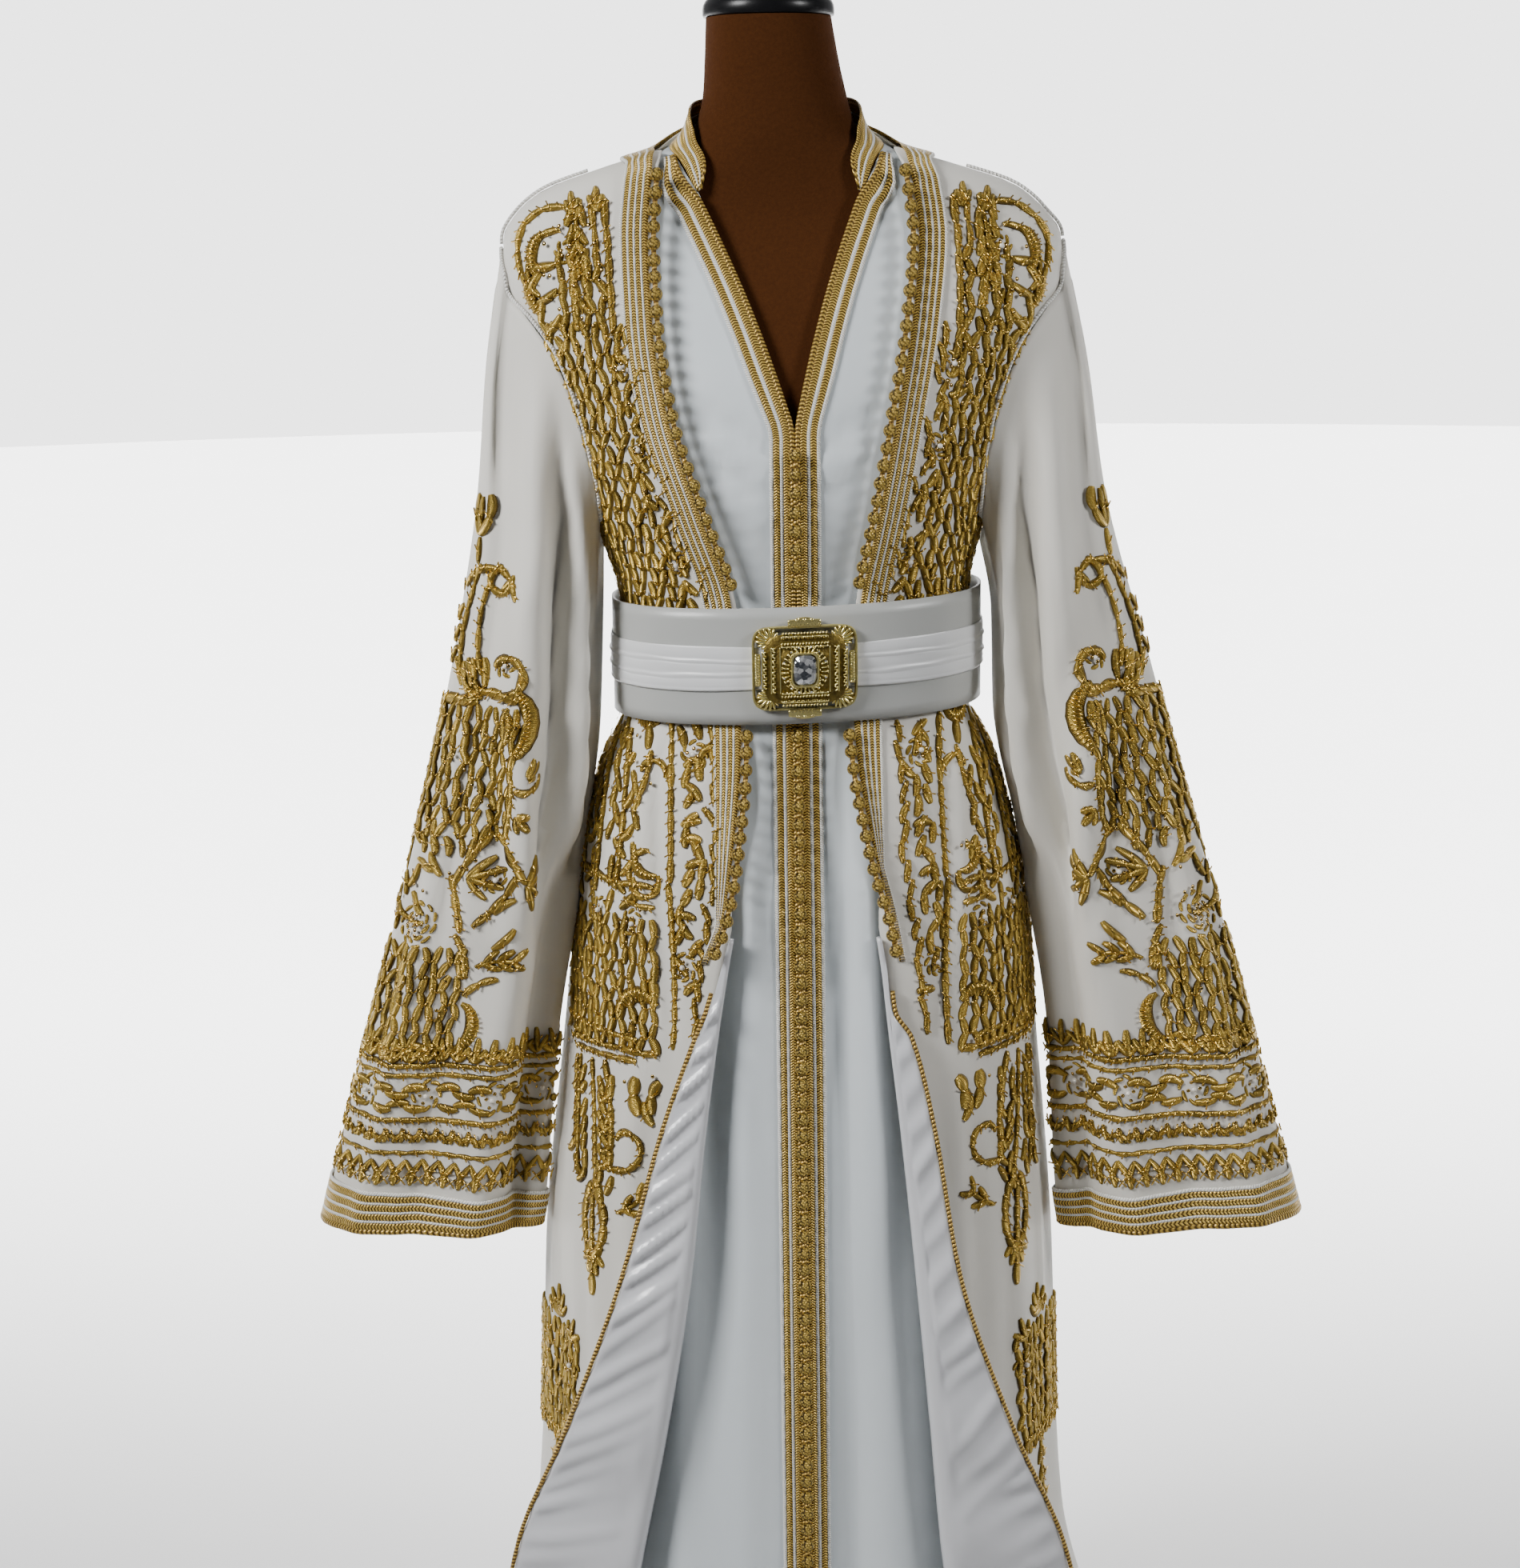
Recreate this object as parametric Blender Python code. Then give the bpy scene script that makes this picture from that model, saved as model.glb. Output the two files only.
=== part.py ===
"""A two-layer takchita on a limbless dress form: inner dress, open over-robe, wide belt with a buckle.

Metres, +Z up, the front towards -Y. The origin is the middle of the stand's underside.
"""

import math

import bmesh
import bpy
import numpy as np

for thing in list(bpy.data.objects):
    bpy.data.objects.remove(thing, do_unlink=True)

# Driving sizes
CLOTH = 0.0012
BRAID = 0.0015
SEAM_GAP = 0.0003
HEM_HEIGHT = 0.030
UNDERARM_HEIGHT = 1.108
SHOULDER_TIP_HEIGHT = 1.322
BUTTON_DIAMETER = 0.0098
DRESS_BUTTON_PITCH = 0.0130
ROBE_BUTTON_PITCH = 0.0120
PLACKET_CENTRE = 0.0065
V_FOOT_HEIGHT = 1.195
V_TOP_HEIGHT = 1.360
NECK_CENTRE = -0.0025
V_TOP_ACROSS = {-1.0: -0.0600, 1.0: 0.0555}
ROBE_BAND_WIDTH = 0.0195
DRESS_BAND_WIDTH = 0.0170
EDGE_BEYOND_BUTTONS = 0.0020
BAND_BEYOND_BUTTONS = 0.0056
BELT_HEIGHT = 0.087
BELT_MIDDLE = 1.0215
BELT_THICKNESS = 0.0022
BELT_TILT = math.radians(1.5)
PLEAT_STRIP_HEIGHT = 0.034
BUCKLE_WIDTH = 0.076
BUCKLE_HEIGHT = 0.070
BUCKLE_CENTRE = 0.0120
FORM_BOTTOM = 0.715
POLE_RADIUS = 0.0160
BASE_RADIUS = 0.150
BASE_THICKNESS = 0.014

# Sections of the form's skin: height, centre, half width, front depth, back depth.
FORM_SECTIONS = (
    (0.715, 0.004, 0.128, 0.092, 0.100),
    (0.800, 0.004, 0.150, 0.106, 0.118),
    (0.870, 0.004, 0.146, 0.102, 0.114),
    (0.978, 0.006, 0.121, 0.083, 0.084),
    (1.030, 0.006, 0.118, 0.080, 0.076),
    (1.085, 0.004, 0.126, 0.088, 0.074),
    (1.150, 0.003, 0.144, 0.098, 0.078),
    (1.210, 0.002, 0.158, 0.092, 0.082),
    (1.270, 0.002, 0.180, 0.074, 0.078),
    (1.310, 0.001, 0.194, 0.058, 0.066),
    (1.332, 0.000, 0.186, 0.050, 0.056),
    (1.350, -0.001, 0.156, 0.046, 0.050),
    (1.370, -0.002, 0.114, 0.045, 0.048),
    (1.388, -0.003, 0.080, 0.046, 0.050),
    (1.404, -0.004, 0.062, 0.047, 0.053),
    (1.424, -0.004, 0.0545, 0.047, 0.053),
    (1.455, -0.006, 0.0495, 0.047, 0.052),
    (1.486, -0.008, 0.0460, 0.046, 0.050),
)

# Sections of the inner dress, to the inside of its cloth.
DRESS_SECTIONS = (
    (0.030, 0.004, 0.214, 0.178, 0.215),
    (0.150, 0.004, 0.204, 0.170, 0.200),
    (0.320, 0.004, 0.190, 0.158, 0.180),
    (0.520, 0.004, 0.176, 0.142, 0.158),
    (0.720, 0.005, 0.163, 0.124, 0.136),
    (0.850, 0.005, 0.152, 0.110, 0.120),
    (0.978, 0.006, 0.1255, 0.088, 0.089),
    (1.030, 0.006, 0.1225, 0.085, 0.081),
    (1.085, 0.004, 0.1305, 0.093, 0.079),
    (1.150, 0.003, 0.149, 0.103, 0.083),
    (1.210, 0.002, 0.163, 0.097, 0.087),
    (1.270, 0.002, 0.186, 0.079, 0.083),
    (1.310, 0.001, 0.200, 0.063, 0.071),
    (1.336, 0.000, 0.192, 0.055, 0.061),
    (1.355, -0.001, 0.162, 0.051, 0.055),
    (1.3742, -0.002, 0.118, 0.050, 0.053),
    (1.3908, -0.003, 0.084, 0.050, 0.054),
    (1.408, -0.004, 0.0665, 0.051, 0.057),
    (1.432, -0.004, 0.0590, 0.051, 0.057),
)

# Sections of the over-robe, to the inside of its cloth.
ROBE_SECTIONS = (
    (0.030, 0.004, 0.282, 0.205, 0.268),
    (0.150, 0.004, 0.250, 0.192, 0.244),
    (0.300, 0.003, 0.211, 0.175, 0.214),
    (0.430, 0.004, 0.202, 0.165, 0.196),
    (0.550, 0.0045, 0.198, 0.154, 0.180),
    (0.690, 0.007, 0.187, 0.141, 0.160),
    (0.830, 0.009, 0.174, 0.126, 0.138),
    (0.930, 0.008, 0.152, 0.109, 0.112),
    (0.978, 0.008, 0.1315, 0.0945, 0.095),
    (1.030, 0.008, 0.1285, 0.0910, 0.0865),
    (1.072, 0.006, 0.1305, 0.0940, 0.0850),
    (1.115, 0.004, 0.1440, 0.1045, 0.0870),
    (1.160, 0.003, 0.1570, 0.1105, 0.0900),
    (1.215, 0.002, 0.1730, 0.1030, 0.0940),
    (1.270, 0.002, 0.1960, 0.0860, 0.0900),
    (1.305, 0.001, 0.2080, 0.0720, 0.0800),
    (1.330, 0.000, 0.2070, 0.0640, 0.0700),
    (1.347, -0.002, 0.1960, 0.0600, 0.0640),
    (1.3635, -0.002, 0.1760, 0.0570, 0.0600),
    (1.380, -0.003, 0.1290, 0.0560, 0.0600),
    (1.393, -0.003, 0.0880, 0.0570, 0.0620),
    (1.410, -0.004, 0.0760, 0.0580, 0.0660),
    (1.434, -0.004, 0.0700, 0.0580, 0.0660),
)

# The skirts' largest folds, as soft ridges: turn in degrees, top's height, depth, half spread in degrees.
ROBE_FOLDS = (
    (19.0, 0.950, 0.004, 8.0),
    (52.0, 0.940, 0.008, 13.0),
    (84.0, 0.900, 0.007, 13.0),
    (118.0, 0.960, 0.010, 14.0),
    (150.0, 0.960, 0.012, 14.0),
    (180.0, 0.960, 0.010, 13.0),
    (-150.0, 0.960, 0.011, 14.0),
    (-118.0, 0.960, 0.012, 14.0),
    (-84.0, 0.900, 0.007, 13.0),
    (-50.0, 0.940, 0.009, 13.0),
    (-19.0, 0.950, 0.004, 8.0),
)
DRESS_FOLDS = (
    (22.0, 0.930, 0.006, 9.0),
    (55.0, 0.900, 0.008, 14.0),
    (110.0, 0.900, 0.010, 16.0),
    (150.0, 0.900, 0.010, 16.0),
    (-165.0, 0.900, 0.010, 16.0),
    (-120.0, 0.900, 0.010, 16.0),
    (-60.0, 0.900, 0.008, 14.0),
    (-24.0, 0.930, 0.007, 9.0),
)

# The line of buttons on the robe's front edges, from the hip up: height, left across, right across.
ROBE_LINE = (
    (0.745, -0.0730, 0.0800),
    (0.780, -0.0636, 0.0775),
    (0.804, -0.0561, 0.0742),
    (0.8315, -0.0461, 0.0695),
    (0.884, -0.0376, 0.0570),
    (0.955, -0.0306, 0.0450),
    (1.000, -0.0300, 0.0425),
    (1.066, -0.0360, 0.0485),
    (1.130, -0.0560, 0.0610),
    (1.205, -0.0800, 0.0755),
    (1.270, -0.0900, 0.0875),
    (1.328, -0.0925, 0.0935),
    (1.372, -0.0890, 0.0880),
    (1.393, -0.0850, 0.0800),
)

# The robe's neck edge from the shoulder round the back: turn in degrees, inner and outer height.
ROBE_NECK_EDGE = (
    (90.0, 1.3925, 1.3855),
    (125.0, 1.4100, 1.3920),
    (180.0, 1.4240, 1.3980),
)

# The turned-back fronts: height, then X of the left fold and free edge and of the right fold and free edge.
TURNBACK = (
    (0.032, -0.1800, -0.2800, 0.1680, 0.2780),
    (0.150, -0.1560, -0.2520, 0.1440, 0.2440),
    (0.330, -0.1220, -0.2180, 0.1120, 0.2050),
    (0.435, -0.1010, -0.1760, 0.1030, 0.1630),
    (0.560, -0.0800, -0.1300, 0.0920, 0.1220),
    (0.674, -0.0670, -0.0970, 0.0810, 0.1030),
    (0.745, -0.0570, -0.0710, 0.0730, 0.0860),
    (0.764, -0.0540, -0.0630, 0.0710, 0.0740),
    (0.797, -0.0485, -0.0530, 0.0675, 0.0705),
    (0.828, -0.0425, -0.0445, 0.0630, 0.0655),
)

# Where the armhole seam lies across the front: height, distance from the middle.
ARMHOLE = (
    (1.108, 0.1400),
    (1.140, 0.1425),
    (1.190, 0.1500),
    (1.245, 0.1690),
    (1.272, 0.1880),
    (1.292, 0.2040),
    (1.322, 0.2080),
)

# Sleeves, from armhole to cuff: way down, outer x and z, inner x and z, front, back, middle depth.
SLEEVE_LEFT = (
    (0.00, -0.2090, 1.322, -0.1430, 1.108, 0.068, 0.066, 0.000),
    (0.12, -0.2230, 1.235, -0.1500, 1.045, 0.062, 0.058, -0.004),
    (0.25, -0.2320, 1.145, -0.1560, 0.972, 0.056, 0.052, -0.010),
    (0.40, -0.2570, 1.008, -0.1690, 0.885, 0.050, 0.048, -0.020),
    (0.55, -0.2840, 0.897, -0.1810, 0.805, 0.046, 0.046, -0.030),
    (0.70, -0.3160, 0.780, -0.1900, 0.722, 0.042, 0.046, -0.037),
    (0.85, -0.3470, 0.670, -0.1985, 0.642, 0.038, 0.046, -0.042),
    (1.00, -0.3740, 0.570, -0.2050, 0.566, 0.035, 0.046, -0.045),
)
SLEEVE_RIGHT = (
    (0.00, 0.2110, 1.322, 0.1500, 1.108, 0.068, 0.066, 0.000),
    (0.12, 0.2290, 1.235, 0.1650, 1.048, 0.062, 0.058, -0.004),
    (0.25, 0.2410, 1.145, 0.1720, 0.975, 0.056, 0.052, -0.010),
    (0.40, 0.2780, 1.008, 0.1840, 0.885, 0.050, 0.048, -0.020),
    (0.55, 0.3090, 0.897, 0.1990, 0.805, 0.046, 0.046, -0.030),
    (0.70, 0.3440, 0.780, 0.2080, 0.722, 0.042, 0.046, -0.037),
    (0.85, 0.3750, 0.664, 0.2120, 0.640, 0.038, 0.046, -0.042),
    (1.00, 0.4020, 0.566, 0.2160, 0.560, 0.035, 0.046, -0.045),
)
SLEEVES = {"left": SLEEVE_LEFT, "right": SLEEVE_RIGHT}
SIDES = {"left": -1.0, "right": 1.0}

# Finishes: colour, roughness, metallic.
FINISHES = {
    "crepe": ((0.86, 0.86, 0.82), 0.60, 0.0),
    "satin": ((0.70, 0.75, 0.79), 0.35, 0.0),
    "lining": ((0.72, 0.72, 0.75), 0.28, 0.0),
    "braid": ((0.55, 0.40, 0.13), 0.38, 0.8),
    "gold_cord": ((0.50, 0.35, 0.10), 0.35, 0.8),
    "white_cord": ((0.90, 0.88, 0.82), 0.60, 0.0),
    "belt": ((0.74, 0.74, 0.75), 0.50, 0.0),
    "pleats": ((0.88, 0.88, 0.88), 0.45, 0.0),
    "buckle": ((0.80, 0.66, 0.25), 0.18, 1.0),
    "crystal": ((0.92, 0.94, 0.97), 0.04, 0.0),
    "form": ((0.16, 0.075, 0.030), 0.90, 0.0),
    "cap": ((0.015, 0.015, 0.017), 0.30, 0.0),
    "stand": ((0.10, 0.10, 0.11), 0.35, 0.9),
}


def finish(name):
    """The Principled material of one finish, made once."""
    material = bpy.data.materials.get(name)
    if material:
        return material
    colour, roughness, metallic = FINISHES[name]
    material = bpy.data.materials.new(name)
    material.use_nodes = True
    shader = material.node_tree.nodes["Principled BSDF"]
    shader.inputs["Base Color"].default_value = (*colour, 1.0)
    shader.inputs["Roughness"].default_value = roughness
    shader.inputs["Metallic"].default_value = metallic
    return material


class Curve:
    """A smooth line through a table's rows with no overshoot, along the table's first column."""

    def __init__(self, rows):
        table = np.array(rows, float)
        self.at = table[:, 0]
        self.value = table[:, 1:]
        step = np.diff(self.at)[:, None]
        rise = np.diff(self.value, axis=0) / step
        slope = np.zeros_like(self.value)
        slope[0] = rise[0]
        slope[-1] = rise[-1]
        before = rise[:-1]
        after = rise[1:]
        same = before * after > 0
        total = np.where(same, before + after, 1.0)
        slope[1:-1] = np.where(same, 2.0 * before * after / total, 0.0)
        self.slope = slope

    def __call__(self, where):
        where = np.clip(where, self.at[0], self.at[-1])
        i = int(np.clip(np.searchsorted(self.at, where) - 1, 0, len(self.at) - 2))
        step = self.at[i + 1] - self.at[i]
        t = (where - self.at[i]) / step
        rest = (2 * t**3 - 3 * t**2 + 1) * self.value[i] + (3 * t**2 - 2 * t**3) * self.value[i + 1]
        lean = (t**3 - 2 * t**2 + t) * self.slope[i] + (t**3 - t**2) * self.slope[i + 1]
        return rest + step * lean


def signed_power(value, power):
    return math.copysign(abs(value) ** power, value)


def blend(first, second, part):
    return first + (second - first) * part


def smooth_part(part):
    part = min(max(part, 0.0), 1.0)
    return part * part * (3.0 - 2.0 * part)


class Layer:
    """A round of cloth, or the form's skin: rings with a centre, a half width and two depths."""

    roundness = 2.25

    def __init__(self, rows, folds=()):
        self.rows = Curve(rows)
        self.folds = folds

    def fold(self, turn, height):
        """How far the skirt's folds stand out here."""
        total = 0.0
        for middle, top, depth, spread in self.folds:
            away = (math.degrees(turn) - middle + 180.0) % 360.0 - 180.0
            total += depth * smooth_part((top - height) / 0.45) * math.exp(-((away / spread) ** 2))
        return total

    def skin(self, turn, height):
        """The point at a turn from the front, in radians towards +X, and a height."""
        centre, half_width, front, back = self.rows(height)
        power = 2.0 / self.roundness
        depth = front if math.cos(turn) > 0 else back
        across = half_width * signed_power(math.sin(turn), power)
        deep = -depth * signed_power(math.cos(turn), power)
        grow = 1.0 + self.fold(turn, height) / math.hypot(across, deep)
        return np.array((centre + across * grow, deep * grow, height))

    def point(self, turn, height, out=0.0):
        """The same, moved out along the skin's normal."""
        here = self.skin(turn, height)
        if out == 0.0:
            return here
        step = 0.002
        around = self.skin(turn + step, height) - self.skin(turn - step, height)
        up = self.skin(turn, height + step) - self.skin(turn, height - step)
        normal = np.cross(around, up)
        return here + out * normal / np.linalg.norm(normal)

    def turn_at(self, across, height):
        """The turn at which the front of the ring has this X."""
        centre, half_width = self.rows(height)[:2]
        part = float(np.clip((across - centre) / half_width, -1.0, 1.0))
        return math.asin(signed_power(part, self.roundness / 2.0))


form = Layer(FORM_SECTIONS)
dress = Layer(DRESS_SECTIONS, DRESS_FOLDS)
robe = Layer(ROBE_SECTIONS, ROBE_FOLDS)
robe_line = Curve(ROBE_LINE)
robe_neck = Curve(ROBE_NECK_EDGE)
turnback = Curve(TURNBACK)
armhole = Curve(ARMHOLE)


def thing_from(name, mesh, material):
    mesh.shade_smooth()
    thing = bpy.data.objects.new(name, mesh)
    thing.data.materials.append(finish(material))
    bpy.context.scene.collection.objects.link(thing)
    return thing


def cloth(name, columns, rows, place, material, thickness=CLOTH, closed=False):
    """A grid laid where place(u, v) says, u around and v up, and given a wall outwards."""
    shape = bmesh.new()
    bmesh.ops.create_grid(shape, x_segments=columns, y_segments=rows, size=0.5)
    for corner in shape.verts:
        corner.co = place(corner.co.x + 0.5, corner.co.y + 0.5)
    if closed:
        bmesh.ops.remove_doubles(shape, verts=shape.verts, dist=1e-6)
    mesh = bpy.data.meshes.new(name)
    shape.to_mesh(mesh)
    shape.free()
    thing = thing_from(name, mesh, material)
    wall = thing.modifiers.new("wall", "SOLIDIFY")
    wall.thickness = thickness
    wall.offset = 1.0
    return thing


def cord(name, points, radius, material, sides=1):
    """A round cord through the points, with closed ends."""
    line = bpy.data.curves.new(name, "CURVE")
    line.dimensions = "3D"
    line.bevel_depth = radius
    line.bevel_resolution = sides
    line.use_fill_caps = True
    spline = line.splines.new("POLY")
    spline.points.add(len(points) - 1)
    for knot, point in zip(spline.points, points):
        knot.co = (*point, 1.0)
    line.materials.append(finish(material))
    thing = bpy.data.objects.new(name, line)
    bpy.context.scene.collection.objects.link(thing)
    return thing


# The dress form: one smooth moulded body from hip to neck, a domed cap, a pole and a round base


def make_form():
    shape = bmesh.new()
    heights = [row[0] for row in FORM_SECTIONS]
    around = 24
    rings = []
    for height in heights:
        ring = [shape.verts.new(form.skin(2 * math.pi * i / around, height)) for i in range(around)]
        rings.append(ring)
    for lower, upper in zip(rings, rings[1:]):
        for i in range(around):
            j = (i + 1) % around
            shape.faces.new((lower[i], lower[j], upper[j], upper[i]))
    shape.faces.new(rings[0][::-1])
    shape.faces.new(rings[-1])
    mesh = bpy.data.meshes.new("form_torso")
    shape.to_mesh(mesh)
    shape.free()
    thing_from("form_torso", mesh, "form")


def turned(name, profile, centre, material, steps=24):
    """A solid turned about a vertical axis from (radius, height) pairs that start and end on the axis."""
    shape = bmesh.new()
    corners = [shape.verts.new((radius, 0.0, height)) for radius, height in profile]
    edges = [shape.edges.new(pair) for pair in zip(corners, corners[1:])]
    bmesh.ops.spin(
        shape,
        geom=corners + edges,
        cent=(0, 0, 0),
        axis=(0, 0, 1),
        angle=2 * math.pi,
        steps=steps,
        use_merge=True,
    )
    bmesh.ops.remove_doubles(shape, verts=shape.verts, dist=1e-6)
    bmesh.ops.recalc_face_normals(shape, faces=shape.faces)
    mesh = bpy.data.meshes.new(name)
    shape.to_mesh(mesh)
    shape.free()
    thing = thing_from(name, mesh, material)
    mesh.set_sharp_from_angle(angle=math.radians(40))
    thing.location = centre
    return thing


def make_stand():
    neck_top = FORM_SECTIONS[-1]
    cap_radius = 0.0485
    cap_bottom = neck_top[0] + SEAM_GAP
    cap_profile = [(0.0, 0.0), (cap_radius - 0.002, 0.0), (cap_radius, 0.002), (cap_radius, 0.006)]
    for i in range(1, 4):
        angle = math.radians(22.5 * i)
        cap_profile.append((cap_radius * math.cos(angle), 0.006 + 0.020 * math.sin(angle)))
    cap_profile.append((0.0, 0.026))
    turned("form_cap", cap_profile, (neck_top[1], 0.002, cap_bottom), "cap", steps=20)
    pole_top = FORM_BOTTOM - SEAM_GAP
    pole_bottom = BASE_THICKNESS + SEAM_GAP
    collar_top = pole_bottom + 0.030
    pole_profile = [
        (0.0, pole_bottom),
        (POLE_RADIUS * 1.9, pole_bottom),
        (POLE_RADIUS * 1.9, pole_bottom + 0.008),
        (POLE_RADIUS, collar_top),
        (POLE_RADIUS, pole_top),
        (0.0, pole_top),
    ]
    turned("form_pole", pole_profile, (0.0, 0.0, 0.0), "stand", steps=16)
    base_profile = [
        (0.0, 0.0),
        (BASE_RADIUS, 0.0),
        (BASE_RADIUS, 0.006),
        (BASE_RADIUS - 0.006, 0.010),
        (0.050, BASE_THICKNESS),
        (0.0, BASE_THICKNESS),
    ]
    turned("form_base", base_profile, (0.0, 0.0, 0.0), "stand", steps=32)


# The inner dress: two fronts that meet under the braided placket, a back, a standing collar


def neck_edge_x(height, side):
    """X of the V's edge on the dress, from its foot to its top."""
    part = (height - V_FOOT_HEIGHT) / (V_TOP_HEIGHT - V_FOOT_HEIGHT)
    foot = PLACKET_CENTRE + side * 0.0002
    return blend(foot, V_TOP_ACROSS[side], part) - side * 0.004 * math.sin(math.pi * part)


# The collar from the V's top round to the back: turn in degrees, height of its seam and of its top.
COLLAR = (
    (20.0, 1.3600, 1.3612),
    (27.0, 1.3690, 1.3790),
    (35.0, 1.3770, 1.3880),
    (49.0, 1.3850, 1.3980),
    (70.0, 1.3915, 1.4130),
    (90.0, 1.3960, 1.4240),
    (125.0, 1.4050, 1.4300),
    (180.0, 1.4080, 1.4310),
)
collar = Curve(COLLAR)


def collar_start(side):
    """The turn at the V's top, where the collar's front end lies."""
    return abs(dress.turn_at(neck_edge_x(V_TOP_HEIGHT, side), V_TOP_HEIGHT))


def signed_turn(layer, across, height, side):
    """The turn of this X on the layer's front, counted towards the side."""
    return side * layer.turn_at(across, height)


def dress_inner_turn(height, side):
    """Turn of the dress front's inner edge: the middle, then the V, then the collar's seam."""
    if height <= V_FOOT_HEIGHT:
        return signed_turn(dress, PLACKET_CENTRE + side * 0.0002, height, side)
    if height <= V_TOP_HEIGHT:
        return signed_turn(dress, neck_edge_x(height, side), height, side)
    turns = np.linspace(20.0, 90.0, 71)
    seam = np.array([collar(turn)[0] for turn in turns])
    return math.radians(float(np.interp(height, seam, turns)))


def outer_turn(layer, height):
    """Turn of a front's outer edge: the side seam, the armhole, then the shoulder seam."""
    if height <= UNDERARM_HEIGHT or height >= SHOULDER_TIP_HEIGHT:
        return math.pi / 2
    centre = layer.rows(height)[0]
    across = centre + armhole(height)[0]
    turn = layer.turn_at(across, height)
    near_end = min(height - UNDERARM_HEIGHT, SHOULDER_TIP_HEIGHT - height) / 0.020
    return blend(math.pi / 2, turn, smooth_part(near_end))


def seam_turn(layer, height):
    """How much turn the seam gap takes at this height."""
    return 0.5 * SEAM_GAP / layer.rows(height)[1]


def rows_between(low, high, marks):
    """Spreads v over the heights so that rows fall on the marks."""
    inside = [mark for mark in marks if low < mark < high]
    return [low, *inside, high]


DRESS_MARKS = (0.15, 0.30, 0.44, 0.57, 0.69, 0.79, 0.87, 0.93, 0.978, 1.03, 1.085, 1.14, 1.195, 1.24, 1.28)
DRESS_TOP_MARKS = (*DRESS_MARKS, 1.322, 1.345, 1.36, 1.375, 1.388)


def along_marks(heights, v):
    """The height at v, with the marks evenly spread over v."""
    spot = v * (len(heights) - 1)
    return float(np.interp(spot, range(len(heights)), heights))


def make_dress():
    front_heights = rows_between(HEM_HEIGHT, 1.3945, DRESS_TOP_MARKS)
    for name, side in SIDES.items():

        def front_place(u, v, side=side):
            height = along_marks(front_heights, v)
            inner = dress_inner_turn(height, side)
            outer = outer_turn(dress, height) - seam_turn(dress, height)
            part = u if side > 0 else 1.0 - u
            return dress.point(side * blend(inner, max(outer, inner + 0.004), part), height)

        cloth(f"dress_front_{name}", 5, len(front_heights) - 1, front_place, "satin")

    make_back("dress_back", dress, DRESS_MARKS, dress_back_neck, DRESS_BACK_COLUMNS, "satin")


def dress_back_neck(turn):
    """Heights of a row just below the collar's seam and of the seam."""
    seam = collar(turn)[0]
    return seam - 0.012, seam


YOKE_PARTS = (0.35, 0.70, 1.0)
DRESS_BACK_COLUMNS = 14
ROBE_BACK_COLUMNS = 18


def make_back(name, layer, marks, neck, columns, material):
    """A back panel: level rows to the shoulder tips, then rows that lean up to the neck and its trim."""
    heights = rows_between(HEM_HEIGHT, SHOULDER_TIP_HEIGHT, marks)
    rows = len(heights) + 4
    level_part = (len(heights) - 1) / rows

    def place(u, v):
        if v <= level_part + 1e-6:
            height = along_marks(heights, min(v / level_part, 1.0))
            edge = math.pi - outer_turn(layer, height) + seam_turn(layer, height)
            return layer.point(blend(edge, 2 * math.pi - edge, u), height)
        edge = math.pi / 2 + seam_turn(layer, SHOULDER_TIP_HEIGHT)
        turn = blend(edge, 2 * math.pi - edge, u)
        low, high = neck(math.degrees(math.pi - abs(math.pi - turn)))
        row = 5.0 * (v - level_part) / (1.0 - level_part)
        part = float(np.interp(row, (0.0, 1.0, 2.0, 3.0), (0.0, *YOKE_PARTS)))
        height = blend(SHOULDER_TIP_HEIGHT, low, part)
        return layer.point(turn, blend(height, high, max(row - 3.0, 0.0) / 2.0))

    cloth(name, columns, rows, place, material)


def make_collar():
    start = {name: math.degrees(collar_start(side)) for name, side in SIDES.items()}

    def place(u, v):
        """From the left front end, round the back, to the right front end."""
        sweep = blend(start["right"] + 1.0, 360.0 - start["left"] - 1.0, u)
        turn = sweep if sweep <= 180.0 else 360.0 - sweep
        seam, top = collar(max(turn, 20.0))
        height = blend(seam + 0.0010, top, v)
        return dress.point(math.radians(sweep), height, 0.0004)

    cloth("dress_collar", 22, 2, place, "braid", BRAID)


def dress_band_stations(side):
    """The band's inner edge: up the middle, then up the V and on beside the collar."""
    stations = []
    for height in rows_between(HEM_HEIGHT + 0.001, V_FOOT_HEIGHT - 0.006, DRESS_MARKS):
        stations.append((PLACKET_CENTRE + side * 0.0005, height))
    for part in np.linspace(0.0, 1.0, 6):
        height = blend(V_FOOT_HEIGHT + 0.004, V_TOP_HEIGHT - 0.002, part)
        stations.append((neck_edge_x(height, side) + side * 0.0004, height))
    stations.append((NECK_CENTRE + side * 0.0650, 1.3672))
    stations.append((NECK_CENTRE + side * 0.0715, 1.3755))
    return stations


BAND_LIFT = 0.0007


def make_dress_bands():
    for name, side in SIDES.items():
        edge = dress_band_stations(side)

        def across_of(v, part, side=side, edge=edge):
            spot = v * (len(edge) - 1)
            index = min(int(spot + 1e-6), len(edge) - 2)
            along = np.array(edge[index + 1]) - np.array(edge[index])
            along /= np.linalg.norm(along)
            here = blend(np.array(edge[index]), np.array(edge[index + 1]), spot - index)
            lift = smooth_part((here[1] - V_FOOT_HEIGHT) / 0.05)
            width = DRESS_BAND_WIDTH + 0.0025 * lift
            return here + part * width * np.array((side * along[1], -side * along[0]))

        def place(u, v, side=side, across_of=across_of):
            part = u if side > 0 else 1.0 - u
            across, height = across_of(v, part)
            return dress.point(dress.turn_at(across, height), height, CLOTH + BAND_LIFT)

        cloth(f"dress_band_{name}", 2, len(edge) - 1, place, "braid", BRAID)


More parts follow.
